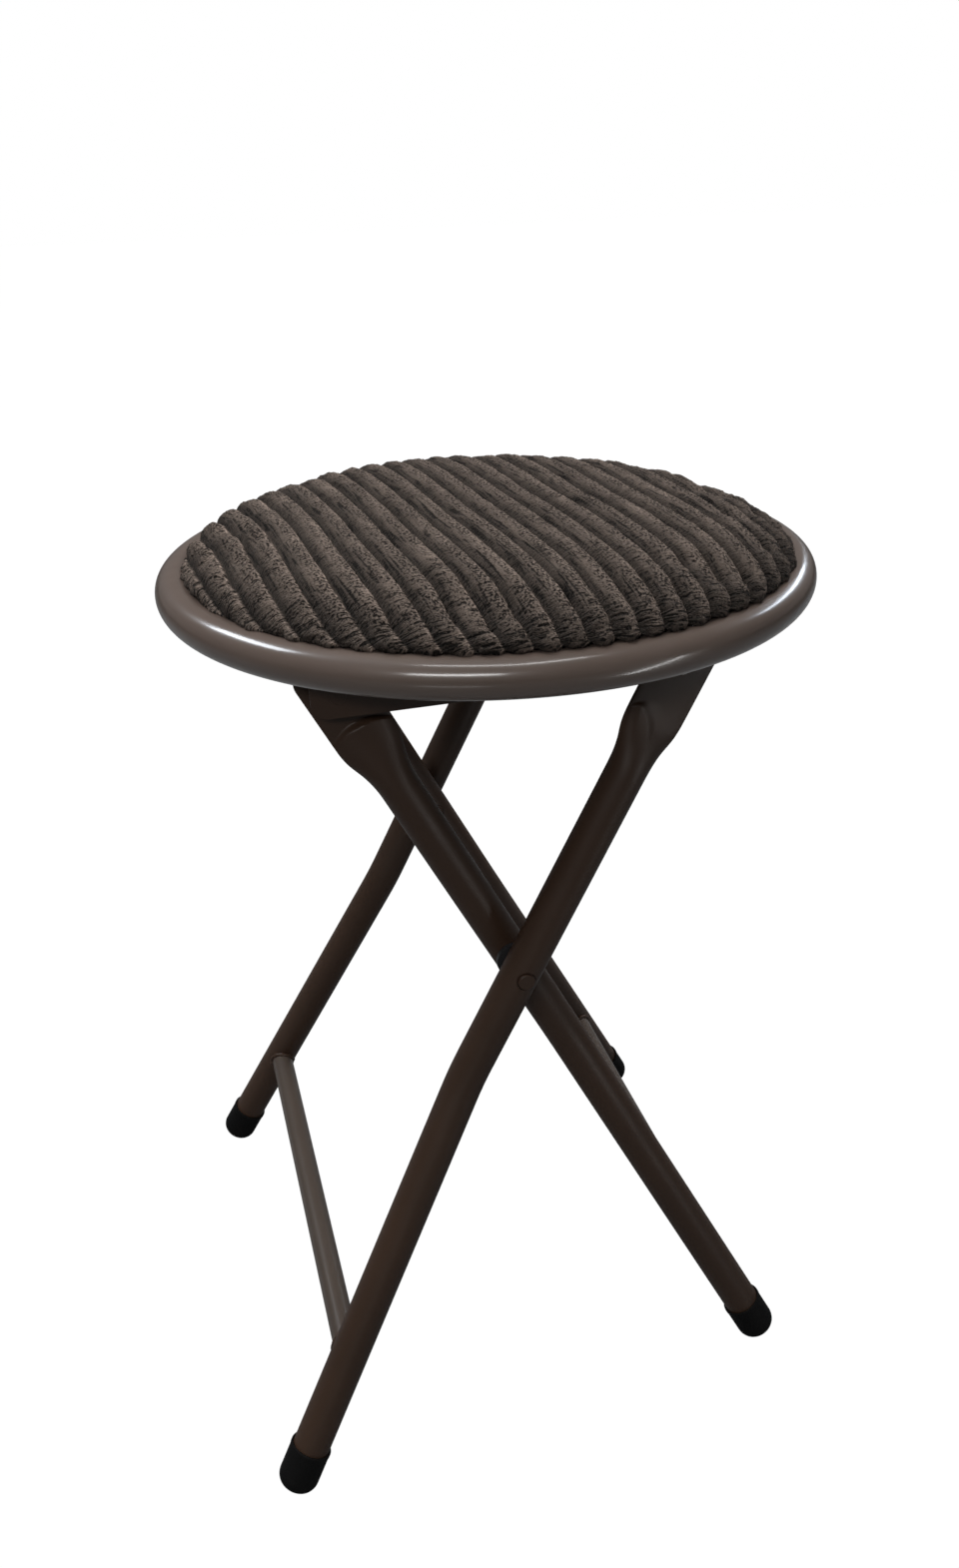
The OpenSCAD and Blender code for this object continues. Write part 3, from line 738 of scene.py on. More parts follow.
def build_bar(leg, kind):
    place = frame_matrix(leg)
    rings = [[place @ Vector(p) for p in bar_ring(leg, side, BAR_SINK)] for side in (-1, 1)]
    bar = make_piece(f"{kind}_tie_tube", *loft(rings))
    bar.data.materials.append(bar_paint_lit)
    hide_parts(f"{kind}_crossbar")
    return bar


def build_bead(leg, kind, side, where):
    place = frame_matrix(leg)
    path = [Vector(p) for p in bar_ring(leg, side, -BEAD_OUT, BAR_R + 0.3, BEAD_STEPS)]
    middle = sum(path, Vector()) / len(path)
    rings = []
    for j, p in enumerate(path):
        ahead = (path[(j + 1) % BEAD_STEPS] - path[j - 1]).normalized()
        out = (p - middle).normalized()
        out = (out - ahead * out.dot(ahead)).normalized()
        other = ahead.cross(out)
        ripple = BEAD_R + 0.25 * noise.noise(Vector((j * 0.45, side * 3.0, leg["half"] * 0.1)))
        ripple *= 1 + 0.10 * math.cos(j * 2 * math.pi * RIPPLES / BEAD_STEPS)
        rings.append([place @ (p + ripple * (math.cos(b) * out + math.sin(b) * other))
                      for b in angles(BEAD_SIDES)])
    rings.append(rings[0])
    bead = make_piece(f"{kind}_weld_bead_{where}", *loft(rings, closed_ends=False), sharp=80)
    bead.data.materials.append(paint)
    return bead


for leg, kind in FRAMES:
    pieces = [build_bar(leg, kind)] + [build_bead(leg, kind, side, where) for side, where in ENDS]
    for piece in pieces:
        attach(piece, leg["body"])
    print("made", [piece.name for piece in pieces])

# %% [markdown]
# ## Rubber caps
# Each tube end is pushed into a black rubber cap: a thin sleeve with a soft lip above a thick rounded
# sole. A bevelled cylinder would lack the lip. One profile, turned round the tube's own axis, gives
# sleeve, lip and sole at once, and the sole is cut flat where it meets the floor.

# %% Foot caps
CAP_R, CAP_LEN, CAP_SIDES = 10.45, 24.0, 72
SOLE_R = CAP_R - SOLE_ROUND
LIP_R, LIP_UP = 0.55, 0.7
BORE_R, SOLE_T = 9.56, 6.05


def cap_profile():
    """Radius and height, from the middle of the sole up the outside, over the lip and down inside."""
    outline = [(0.0, 0.0), (1.8, 0.0), (SOLE_R, 0.0)]
    for a in np.linspace(-84, 0, 13):
        outline.append((SOLE_R + SOLE_ROUND * math.cos(math.radians(a)),
                        SOLE_ROUND + SOLE_ROUND * math.sin(math.radians(a))))
    outline += [(CAP_R, 12.0), (CAP_R, 20.4), (CAP_R + 0.02, 21.2), (CAP_R + 0.22, 21.9)]
    for a in np.linspace(0, 180, 9):
        outline.append((CAP_R - 0.33 + LIP_R * math.cos(math.radians(a)),
                        CAP_LEN - LIP_UP + LIP_UP * math.sin(math.radians(a))))
    outline += [(BORE_R, 20.0), (BORE_R, SOLE_T + 0.25), (BORE_R - 0.36, SOLE_T), (0.0, SOLE_T)]
    return outline


def build_cap(leg, side, name):
    place = frame_matrix(leg)
    down = Vector((0, side * math.sin(SPLAY), -math.cos(SPLAY)))
    across = Vector((0, side * math.cos(SPLAY), math.sin(SPLAY)))
    corner = Vector((0, side * leg["half"], -BEND_DROP))
    end = lower_length(leg) + SOLE_ROUND
    rings = []
    for r, up in cap_profile():
        ring = []
        for a in angles(CAP_SIDES):
            spot = place @ (corner + down * (end - up) + r * math.cos(a) * Vector((1, 0, 0))
                            + r * math.sin(a) * across)
            ring.append((spot.x, spot.y, max(0.0, spot.z)))
        rings.append(ring)
    cap = make_piece(name, *loft(rings, closed_ends=False), sharp=45)
    cap.data.materials.append(rubber)
    return cap


for leg, kind in FRAMES:
    for side, where in ENDS:
        cap = build_cap(leg, side, f"{kind}_rubber_cap_{where}")
        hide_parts(f"{kind}_foot_{where}")
        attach(cap, leg["body"])
print("caps, mm long:", CAP_LEN, "across:", 2 * CAP_R)

# %% [markdown]
# ## Cross rivets
# One rivet joins the tubes at each crossing. Its painted head is a flat disc, let into the tube, with
# a narrow bevel that catches the light. It is turned from one profile too: a disc and a rod set
# together would leave hidden faces inside.

# %% Cross rivets
HEAD_R, PIN_R, BEVEL = 4.1, 3.0, 0.32
HEAD_T, CLOSED_T = 1.6, 1.3
for side, where in ENDS:
    low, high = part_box(f"cross_rivet_{where}")
    near, far = sorted((abs(low[1]) / MM, abs(high[1]) / MM))
    outline = [(0.0, near), (HEAD_R - BEVEL, near), (HEAD_R, near + BEVEL), (HEAD_R, near + HEAD_T),
               (PIN_R, near + HEAD_T), (PIN_R, far - CLOSED_T), (HEAD_R, far - CLOSED_T),
               (HEAD_R, far - BEVEL), (HEAD_R - BEVEL, far), (0.0, far)]
    rings = [[(CROSS[0] + r * math.cos(a), side * y, CROSS[1] + r * math.sin(a)) for a in angles(48)]
             for r, y in outline]
    rivet = make_piece(f"cross_rivet_pin_{where}", *loft(rings, closed_ends=False), sharp=20)
    rivet.data.materials.append(paint)
    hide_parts(f"cross_rivet_{where}")
    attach(rivet, "outer_frame")
    print(rivet.name, "mm long:", round(far - near, 1))

# %% [markdown]
# ## Rail welds
# The web of each rail butts against the ring at both ends, and a bead along the joint holds it. A
# straight bead would leave the ring, so this one follows the ring's circle from one flange to the
# other, with the ripples of a hand weld.

# %% Rail weld beads
WEB_Y = (78.6, 91.6)
BEAD_Z, BEAD_CIRCLE = RING_Z - 3.2, 141.3  # height and radius of the line where web and ring meet
RAIL_BEAD_R, RAIL_STEPS = 1.35, 26


def rail_bead(side, end, name):
    rings = []
    for k, y in enumerate(np.linspace(*WEB_Y, RAIL_STEPS)):
        from_middle = (k - (RAIL_STEPS - 1) / 2) / (RAIL_STEPS / 2 - 0.4)
        swell = RAIL_BEAD_R * math.sqrt(max(0.05, 1 - from_middle ** 4)) * (1 + 0.13 * math.cos(k * 1.9))
        swell += 0.2 * noise.noise(Vector((k * 0.5, side * 7.0, end * 3.0)))
        x = math.sqrt(BEAD_CIRCLE ** 2 - y ** 2)
        out = Vector((x, y, 0)).normalized()
        rings.append([(end * (x + swell * math.cos(a) * out.x), side * (y + swell * math.cos(a) * out.y),
                       BEAD_Z + swell * math.sin(a)) for a in angles(BEAD_SIDES)])
    return make_piece(name, *loft(rings), sharp=80)


for side, where in ENDS:
    for end, hand in ((-1, "left"), (1, "right")):
        bead = rail_bead(side, end, f"rail_weld_{where}_{hand}")
        bead.data.materials.append(paint)
        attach(bead, "seat")
print("rail beads, mm long:", round(WEB_Y[1] - WEB_Y[0], 1))

# %% [markdown]
# ## Screws and staples
# Four pan-head screws come up through the rails into the board, and staples hold the cover's hem
# under it. Each could be copied in a loop. One pattern piece and a node tree do it better: the tree
# sets, turns and dresses all the copies, and its inputs are the real distances.


# %% Pattern pieces
def cross_recess(depth):
    """Two crossed bars that cut the driver's cross into a screw head."""
    bars = []
    for long_x, long_y in ((2.0, 0.42), (0.42, 2.0)):
        corners = [(-long_x, -long_y), (long_x, -long_y), (long_x, long_y), (-long_x, long_y)]
        rings = [[(x * grow, y * grow, z) for x, y in corners] for grow, z in ((1.0, -1.0), (0.45, depth))]
        bars.append(make_piece("recess", *loft(rings), sharp=30))
    return bars


HEAD_WIDTH, SHANK_R, SCREW_LEN = 7.8, 1.95, 12.2
screw_outline = ((0.0, 0.0), (1.4, 0.06), (2.4, 0.28), (3.2, 0.72), (3.75, 1.35), (HEAD_WIDTH / 2, 1.9),
                 (HEAD_WIDTH / 2, 2.4), (SHANK_R, 2.4), (SHANK_R, SCREW_LEN), (0.0, SCREW_LEN))
screw_rings = [[(r * math.cos(a), r * math.sin(a), z) for a in angles(32)] for r, z in screw_outline]
screw_pattern = make_piece("screw_pattern", *loft(screw_rings, closed_ends=False), sharp=32)
cut_holes(screw_pattern, cross_recess(1.5))
shade(screw_pattern.data, 32)
print("screw, mm long:", SCREW_LEN)

# %% Pattern staple: flat wire bent round two corners
STAPLE_W, STAPLE_T, CROWN_LEN, LEG_UP = 0.9, 0.6, 10.0, 6.0
CORNER_R = 0.7
WIRE = ((-1, -0.6), (-0.7, -1), (0.7, -1), (1, -0.6), (1, 0.6), (0.7, 1), (-0.7, 1), (-1, 0.6))
inner_x = 1.0 - CROWN_LEN / 2
middle_line = [(inner_x - CORNER_R, LEG_UP), (inner_x - CORNER_R, 1.0)]
for a in (200, 225, 250):
    middle_line.append((inner_x + CORNER_R * math.cos(math.radians(a)),
                        1.0 + CORNER_R * math.sin(math.radians(a))))
middle_line += [(inner_x, 1.0 - CORNER_R), (0.0, 1.0 - CORNER_R)]
middle_line += [(-x, z) for x, z in reversed(middle_line[:-1])]
staple_rings = []
for k, (x, z) in enumerate(middle_line):
    before, after = middle_line[max(0, k - 1)], middle_line[min(len(middle_line) - 1, k + 1)]
    tilt = math.atan2(after[1] - before[1], after[0] - before[0])
    staple_rings.append([(across * STAPLE_W / 2, x - thick * STAPLE_T / 2 * math.sin(tilt),
                          z + thick * STAPLE_T / 2 * math.cos(tilt)) for across, thick in WIRE])
staple_pattern = make_piece("staple_pattern", *loft(staple_rings), sharp=50)
print("staple, mm wide:", CROWN_LEN)


# %% Set the copies with Geometry Nodes
def spread_tree(name, material, spots, turn=None):
    """Copies of a pattern on the points that the given nodes make, lifted to a height."""
    tree, given, result, names = new_tree(name, [
        ("Pattern", "NodeSocketObject"), ("Height", "NodeSocketFloat"), ("Reach X", "NodeSocketFloat"),
        ("Reach Y", "NodeSocketFloat"), ("Count", "NodeSocketInt")])
    points = spots(tree, given)
    lift = tree.nodes.new("GeometryNodeSetPosition")
    offset = tree.nodes.new("ShaderNodeCombineXYZ")
    tree.links.new(given.outputs["Height"], offset.inputs["Z"])
    tree.links.new(offset.outputs["Vector"], lift.inputs["Offset"])
    copies = tree.nodes.new("GeometryNodeInstanceOnPoints")
    shape = tree.nodes.new("GeometryNodeObjectInfo")
    tree.links.new(given.outputs["Pattern"], shape.inputs["Object"])
    tree.links.new(shape.outputs["Geometry"], copies.inputs["Instance"])
    if turn is not None:
        tree.links.new(turn(tree), copies.inputs["Rotation"])
    dress = tree.nodes.new("GeometryNodeSetMaterial")
    dress.inputs["Material"].default_value = material
    chain(tree, points, lift, copies, tree.nodes.new("GeometryNodeRealizeInstances"), dress, result)
    return tree, names


def screw_spots(tree, given):
    grid = add(tree, "GeometryNodeMeshGrid")
    grid.inputs["Vertices X"].default_value = 2
    grid.inputs["Vertices Y"].default_value = 2
    tree.links.new(given.outputs["Reach X"], grid.inputs["Size X"])
    tree.links.new(given.outputs["Reach Y"], grid.inputs["Size Y"])
    return grid


def staple_spots(tree, given):
    """Of sixty points round the hem, four groups of five stay: every second point of a group."""
    group, middle = 15.0, 7.0
    circle = add(tree, "GeometryNodeMeshCircle")
    tree.links.new(given.outputs["Count"], circle.inputs["Vertices"])
    tree.links.new(given.outputs["Reach X"], circle.inputs["Radius"])
    wanted = tree.nodes.new("GeometryNodeDeleteGeometry")
    index = tree.nodes.new("GeometryNodeInputIndex")
    in_group = math_node(tree, "MODULO", math_node(tree, "ADD", index.outputs["Index"], middle), group)
    from_middle = math_node(tree, "ABSOLUTE", math_node(tree, "SUBTRACT", in_group, middle))
    beyond = math_node(tree, "GREATER_THAN", from_middle, 4.5)
    between = math_node(tree, "GREATER_THAN", math_node(tree, "MODULO", from_middle, 2.0), 0.5)
    tree.links.new(circle.outputs["Mesh"], wanted.inputs["Geometry"])
    tree.links.new(math_node(tree, "MAXIMUM", beyond, between), wanted.inputs["Selection"])
    return wanted


def face_outwards(tree):
    place = tree.nodes.new("GeometryNodeInputPosition")
    aim = tree.nodes.new("FunctionNodeAlignRotationToVector")
    aim.axis = "X"
    aim.pivot_axis = "Z"
    tree.links.new(place.outputs["Position"], aim.inputs["Vector"])
    return aim.outputs["Rotation"]


low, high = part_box("board_screws")
tree, names = spread_tree("screw_spread", zinc, screw_spots)
board_screws = grow("pan_head_screws", tree, names, {
    "Pattern": screw_pattern, "Height": low[2], "Reach X": high[0] - low[0] - HEAD_WIDTH * MM,
    "Reach Y": high[1] - low[1] - HEAD_WIDTH * MM})
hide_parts("board_screws")
low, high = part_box("cover_staples")
tree, names = spread_tree("staple_spread", zinc, staple_spots, face_outwards)
staples = grow("hem_staples", tree, names, {
    "Pattern": staple_pattern, "Height": low[2], "Reach X": high[0] - STAPLE_W / 2 * MM, "Count": 60})
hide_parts("cover_staples")
for piece in (board_screws, staples):
    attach(piece, "seat")
    print(piece.name, len(piece.data.vertices), "points")
for pattern in (screw_pattern, staple_pattern):
    bpy.data.objects.remove(pattern)

# %% [markdown]
# ## The padded seat
# A foam pad on a round board is wrapped in wide-wale corduroy. A dome with stripes would show where
# the wales run out at its side. So the cloth is thought of as a flat disc drawn over the pad: each
# point of the disc lands at the same distance along the pad's profile, and the wales stay straight on
# top and turn down over the rim as real cloth does.

# %% Profiles of the pad, from the middle of the top to the hem under the board
TOP_Z, POWER, LAP = 463.43, 3.7, 9.8  # top of the dome, how square it is, tuck round the ring's tube
SIDE_RIM = {"reach": 145.9, "rim_z": RING_Z + 8.6, "lap_from": 118.0}
FRONT_RIM = {"reach": 152.6, "rim_z": RING_Z + 11.2, "lap_from": 79.0}
HEM_LINE = ((140.7, 430.94), (140.2, 430.04), (139.2, 429.69), (136, 429.63), (128, 429.63), (119, 429.63))
DOME_STEPS = 400


def pad_profile(reach, rim_z, lap_from):
    """The dome, then the tuck round the ring's tube, then the hem."""
    points = []
    for t in np.linspace(0, 1, DOME_STEPS):
        r = reach * math.sin(t * math.pi / 2)
        points.append((r, rim_z + (TOP_Z - rim_z) * math.sqrt(max(0.0, 1 - (r / reach) ** POWER))))
    for a in np.radians(np.linspace(lap_from, 180, 40)):
        points.append((RING_R + LAP * math.cos(a), RING_Z + LAP * math.sin(a)))
    return np.array(points + list(HEM_LINE))


side_pad, front_pad = pad_profile(**SIDE_RIM), pad_profile(**FRONT_RIM)
steps = np.hypot(*np.diff(side_pad, axis=0).T)
along = np.concatenate([[0], np.cumsum(steps)])
side_slope, front_slope = (np.gradient(pad, along, axis=0) for pad in (side_pad, front_pad))
rim_s, hem_s = float(along[DOME_STEPS - 1]), float(along[-1])
print("cloth from middle to rim, mm:", round(rim_s, 1), "to hem:", round(hem_s, 1))


# %% Where the cloth lies and which way it faces
def on_pad(s, angle):
    """At the front the pad hangs over the ring; elsewhere it stops inside it."""
    share = np.clip(-1.1 * np.sin(angle), 0, 1)
    share = share * share * (3 - 2 * share)

    def between(side, front):
        return (np.interp(s, along, side[:, k]) * (1 - share) + np.interp(s, along, front[:, k]) * share
                for k in (0, 1))

    r, z = between(side_pad, front_pad)
    dr, dz = between(side_slope, front_slope)
    point = np.stack([r * np.cos(angle), r * np.sin(angle), z], axis=-1)
    normal = np.stack([-dz * np.cos(angle), -dz * np.sin(angle), dr], axis=-1)
    return point, normal / np.linalg.norm(normal, axis=-1, keepdims=True)


# %% [markdown]
# ## Let the cloth settle
# Cloth drawn by hand over foam is never quite even. Random bumps would look like bumps, so a coarse
# copy of the pad is swollen with Blender's cloth solver instead, pinned at the rim. Its movement is
# capped, and only its height is used, so the fine mesh keeps its wales.

# %% Cloth simulation on a coarse pad
LIFT_RINGS, LIFT_SIDES = 24, 72
START_NOISE, LIFT_CAP = 0.25, 2.5  # mm: unevenness at the start, and the most that the cloth may move
SETTLE_FRAMES = 20


def settle_cloth():
    points, faces = [tuple(on_pad(0.0, 0.0)[0])], []
    for s in np.linspace(0, rim_s, LIFT_RINGS + 1)[1:]:
        points += [tuple(on_pad(s, a)[0]) for a in angles(LIFT_SIDES)]
    for j in range(LIFT_SIDES):
        faces.append((0, 1 + j, 1 + (j + 1) % LIFT_SIDES))
    for i in range(LIFT_RINGS - 1):
        for j in range(LIFT_SIDES):
            a, b = 1 + i * LIFT_SIDES + j, 1 + i * LIFT_SIDES + (j + 1) % LIFT_SIDES
            faces.append((a, a + LIFT_SIDES, b + LIFT_SIDES, b))
    rng = np.random.default_rng(7)
    start = np.array(points)
    start[1:-LIFT_SIDES, 2] += rng.normal(0, START_NOISE, len(points) - 1 - LIFT_SIDES)
    cloth = make_piece("cloth_trial", [tuple(p) for p in start], faces, fix_normals=False)
    pins = cloth.vertex_groups.new(name="rim")
    pins.add(list(range(len(points) - 2 * LIFT_SIDES, len(points))), 1.0, "REPLACE")
    solver = cloth.modifiers.new("settle", "CLOTH")
    solver.settings.quality = 6
    solver.settings.vertex_group_mass = "rim"
    solver.settings.use_pressure = True
    solver.settings.uniform_pressure_force = 3.0
    solver.settings.effector_weights.gravity = 0
    solver.settings.tension_stiffness = 25
    solver.settings.bending_stiffness = 0.6
    solver.settings.shrink_min = -0.012
    solver.point_cache.frame_end = SETTLE_FRAMES
    for number in range(1, SETTLE_FRAMES + 1):
        scene.frame_set(number)
    moved = cloth.evaluated_get(bpy.context.evaluated_depsgraph_get()).data
    after = np.array([tuple(v.co) for v in moved.vertices]) / MM
    scene.frame_set(1)
    bpy.data.objects.remove(cloth)
    rise = np.clip(after[:, 2] - np.array(points)[:, 2], -LIFT_CAP, LIFT_CAP)
    table = np.zeros((LIFT_RINGS + 1, LIFT_SIDES))
    table[0] = rise[0]
    table[1:] = rise[1:].reshape(LIFT_RINGS, LIFT_SIDES)
    return table


lift_table = settle_cloth()
print("cloth lift, mm:", round(float(lift_table.min()), 2), "to", round(float(lift_table.max()), 2))


def cloth_lift(s, angle):
    """The height of the settled cloth between the coarse pad's points."""
    i = np.clip(s / rim_s * LIFT_RINGS, 0, LIFT_RINGS - 1e-6)
    j = (angle / (2 * math.pi) * LIFT_SIDES) % LIFT_SIDES
    i0, j0 = i.astype(int), j.astype(int)
    fi, fj, j1 = i - i0, j - j0, (j0 + 1) % LIFT_SIDES
    near = lift_table[i0, j0] * (1 - fj) + lift_table[i0, j1] * fj
    far = lift_table[i0 + 1, j0] * (1 - fj) + lift_table[i0 + 1, j1] * fj
    return near * (1 - fi) + far * fi


# %% [markdown]
# ## Corduroy
# The cloth has rows of deep pile, about 12 mm apart, with a narrow furrow between them. On this seat
# they run from the back to the front, turned a little and drawn aside. Stripes in a texture would
# leave the rim smooth. Here each vertex is lifted off the pad by the pile's height, with combing
# marks and with pinches where the cloth turns over the rim, so the outline shows the wales too.

# %% Pile height
PITCH, DEPTH = 12.4, 3.3  # from wale to wale, and down into the furrow
TURN = math.radians(3.0)
LEAN = 1.3  # above 1 the pile's ridge leans towards the next wale


def noise_field(x, y, seed):
    return np.array([noise.noise(Vector((a, b, seed * 17.3))) for a, b in zip(x, y)])


def rim_share(v, s):
    """0 in the middle of the seat, 1 where the wales turn down over the front rim."""
    return np.clip((s - rim_s + 46) / 40, 0, 1) ** 2 * np.clip(0.75 - v / 160, 0.25, 1)


def pile_height(u, v, s):
    """Height over the pad's surface, for points across the wales, along them and from the middle."""
    off = np.abs(2 * (u / PITCH - np.floor(u / PITCH)) ** LEAN - 1)
    round_over = (1 - off ** 2.5) ** 0.6
    slow = noise_field(u * 0.10, v * 0.03, 1)
    combed = noise_field(u * 0.55, v * 0.10, 2)
    tufts = 1 - 2.6 * np.abs(noise_field(u * 0.42, v * 0.42, 3))
    tufts += 0.7 - 1.8 * np.abs(noise_field(u * 0.75, v * 0.65, 6))
    cross = noise_field(u * 0.16, v * 0.55, 4)
    lumps = noise_field(u * 0.12, v * 0.16, 5)
    edge = rim_share(v, s)
    bunched = np.clip((-u - 95) / 50, 0, 1)
    shallow = 0.5 * np.clip(v / 150, 0, 1) + 0.15 * edge
    shallow += 0.4 * np.clip((s - rim_s + 14) / 14, 0, 1) * np.clip((-u - 10) / 60, 0, 1)
    height = DEPTH * (round_over - 1) * np.clip(1 + 0.10 * slow - shallow, 0.25, 1.2)
    height += round_over * (0.45 * combed * (1 - edge) + 0.34 * tufts + (0.2 + 0.5 * edge) * cross
                            + (0.35 + 0.6 * edge + 1.6 * bunched) * lumps)
    return height


print("wales, mm apart:", PITCH, "deep:", DEPTH)


# %% How the wales run
def drawn_aside(c, v):
    """The cover was pulled on askew: how far a point of wale line c lies beside that line, mm. With
    a and b in tenths of a metre it is shifted, drawn together and slanted, and then bent. The seven
    weights were fitted to where the furrows lie in the photograph."""
    a, b = c / 100, v / 100
    return 0.9 - 2.6 * a - 0.5 * b + 2.9 * a * a + 3.9 * a * b + 1.2 * b * b + 2.4 * a ** 3


def cloth_line(u, v):
    """The wale line that passes through a point of the pad."""
    c = u
    for _ in range(4):
        c = u - drawn_aside(c, v)
    return c


def wander(u, v):
    """The wales are not ruled lines: they drift a little."""
    return u + 0.9 * np.array([noise.noise(Vector((a * 0.012, b * 0.012, 5.0))) for a, b in zip(u, v)])


# %% Grid over the cloth: columns follow the wale lines, closest in the furrows
ACROSS_WALE = np.array([0, 0.02, 0.05, 0.1, 0.17, 0.26, 0.38, 0.5, 0.62, 0.74, 0.83, 0.9, 0.95, 0.98])
ROWS, ROW_BUNCH = 260, 0.86  # rows of a column, and how much closer they lie towards its ends
EDGE, LAST_COLUMN, NEXT_COLUMN = rim_s + 6, 0.9985, 0.9965


def cover_grid():
    """The grid's points on the flat cloth, its faces, and the points round its edge in order."""
    columns = np.unique(np.concatenate([(w + ACROSS_WALE) * PITCH for w in range(-16, 16)]))
    columns = columns[np.abs(columns + drawn_aside(columns, 0.0)) < EDGE * NEXT_COLUMN]
    columns = np.concatenate([cloth_line(np.array([-EDGE * LAST_COLUMN]), 0.0), columns,
                              cloth_line(np.array([EDGE * LAST_COLUMN]), 0.0)])
    t = np.linspace(-1, 1, ROWS)
    t = np.sin(t * math.pi / 2 * ROW_BUNCH) / math.sin(math.pi / 2 * ROW_BUNCH)
    ends = []
    for way in (-1, 1):
        end = np.zeros_like(columns)
        for _ in range(30):
            reach = np.minimum(np.abs(columns + drawn_aside(columns, end)), EDGE * LAST_COLUMN)
            end = 0.5 * end + 0.5 * way * np.sqrt(EDGE ** 2 - reach ** 2)
        ends.append(end)
    v = ((ends[0] + ends[1]) / 2)[:, None] + ((ends[1] - ends[0]) / 2)[:, None] * t[None, :]
    u = columns[:, None] + drawn_aside(columns[:, None], v)
    n, m = len(columns), ROWS
    faces = [(i * m + j, (i + 1) * m + j, (i + 1) * m + j + 1, i * m + j + 1)
             for i in range(n - 1) for j in range(m - 1)]
    loop = [(n - 1) * m + j for j in range(m)] + [i * m + m - 1 for i in range(n - 2, -1, -1)]
    loop += [j for j in range(m - 2, -1, -1)] + [i * m for i in range(1, n - 1)]
    return u.ravel(), v.ravel(), faces, loop


def place_cloth(u, v):
    """Points of the flat cloth, drawn over the pad and raised by the pile, which ends at the rim."""
    s = np.hypot(u, v)
    angle = np.arctan2(v, u) + TURN
    point, normal = on_pad(s, angle)
    height = pile_height(wander(cloth_line(u, v), v), v, s)
    fade = np.clip((s - rim_s) / 16, 0, 1)
    height = height * (1 - 0.92 * fade) - 0.4 * fade
    point[:, 2] += cloth_lift(np.minimum(s, rim_s), angle % (2 * math.pi))
    return point + normal * height[:, None]


u, v, cover_faces, loop = cover_grid()
points, marks = [place_cloth(u, v)], [np.stack([u, v], axis=-1)]
print("grid:", len(u), "points,", len(loop), "round its edge")

# %% Rows down the side, under the board and up inside, so that the cover is closed
HEM_ROWS = 16
LINING = ((119.4, 430.82), (139.0, 430.86), (138.5, 440.9), (100.0, 455.9), (40.0, 458.9))
loop_angle = np.arctan2(v[loop], u[loop])


def add_row(row, new_points, new_marks):
    """Adds a closed row of points, joins it to the row before it and returns its numbers."""
    start, n = sum(map(len, points)), len(row)
    points.append(new_points)
    marks.append(new_marks)
    new_row = list(range(start, start + n))
    cover_faces.extend((row[j], row[(j + 1) % n], new_row[(j + 1) % n], new_row[j]) for j in range(n))
    return new_row


row = loop
for s in np.linspace(EDGE + 1.2, along[-1], HEM_ROWS):
    row_u, row_v = s * np.cos(loop_angle), s * np.sin(loop_angle)
    row = add_row(row, place_cloth(row_u, row_v), np.stack([row_u, row_v], axis=-1))
for r, z in LINING:
    angle = loop_angle + TURN
    row = add_row(row, np.stack([r * np.cos(angle), r * np.sin(angle), np.full(len(row), z)], axis=-1),
                  marks[-1])
middle = sum(map(len, points))
points.append(np.array([[0, 0, LINING[-1][1]]]))
marks.append(np.array([[0.0, 0.0]]))
cover_faces += [(row[j], row[(j + 1) % len(row)], middle) for j in range(len(row))]
points, marks = np.concatenate(points), np.concatenate(marks)
cover = make_piece("corduroy_cover", [tuple(p) for p in points], cover_faces, sharp=180, fix_normals=False)
print("cover:", len(points), "points,", len(cover_faces), "faces")

# %% Keep two marks for the material: the cloth's own place, one unit to a wale, and the front rim
uv = cover.data.uv_layers.new(name="cloth")
corner_vertex = np.zeros(len(cover.data.loops), dtype=int)
cover.data.loops.foreach_get("vertex_index", corner_vertex)
flat = np.stack([wander(cloth_line(*marks.T), marks[:, 1]) / PITCH, marks[:, 1] / PITCH], axis=-1)
uv.data.foreach_set("uv", flat[corner_vertex].ravel())
rim_mark = cover.data.attributes.new("rim", "FLOAT", "POINT")
rim_mark.data.foreach_set("value", rim_share(marks[:, 1], np.hypot(marks[:, 0], marks[:, 1])))
print("wales across the cloth:", int(np.ptp(flat[:, 0])))

# %% [markdown]
# ## Corduroy finish
# Pile is dark where one looks into it and paler where it is brushed over, and here much of that
# light and shade is painted into the colour. One colour with a stripe would look printed. So the
# finish is built up in four steps that all follow the cloth's own map: the fibres, how the nap lies,
# the colour, darkened in the dips of the fibres as painted shade, and the bands along each wale,
# which are painted light and shade: a painted shadow just past each furrow, rising over the wale to
# a thin painted highlight, the sheen of its far edge, beside the next furrow.


# %% Fibre helpers
def stretched(tree, vector, across, along_it):
    turn = tree.nodes.new("ShaderNodeMapping")
    turn.inputs["Scale"].default_value = (across, along_it, 1.0)
    tree.links.new(vector, turn.inputs["Vector"])
    return turn.outputs["Vector"]


def cloth_noise(scale, detail=2.0, roughness=0.5):
    """Noise on the cloth's map, scaled by one number, or by one across the wales and one along."""
    place = stretched(tree, cloth_uv, *scale) if isinstance(scale, tuple) else cloth_uv
    return noise_node(tree, place, 1.0 if isinstance(scale, tuple) else scale, detail, roughness)


def threads(clouds):
    """Bright threads along the lines where a noise passes its middle value, dark gaps between."""
    clouds.inputs["Distortion"].default_value = 0.7
    off = math_node(tree, "ABSOLUTE", math_node(tree, "SUBTRACT", clouds.outputs["Fac"], 0.5))
    return map_range(tree, off, 1.0, 0.0, 0.0, 0.19)


def blend_value(factor, low, high):
    node = tree.nodes.new("ShaderNodeMix")
    for socket, value in (("Factor", factor), ("A", low), ("B", high)):
        tree.links.new(value, node.inputs[socket])
    return node.outputs["Result"]


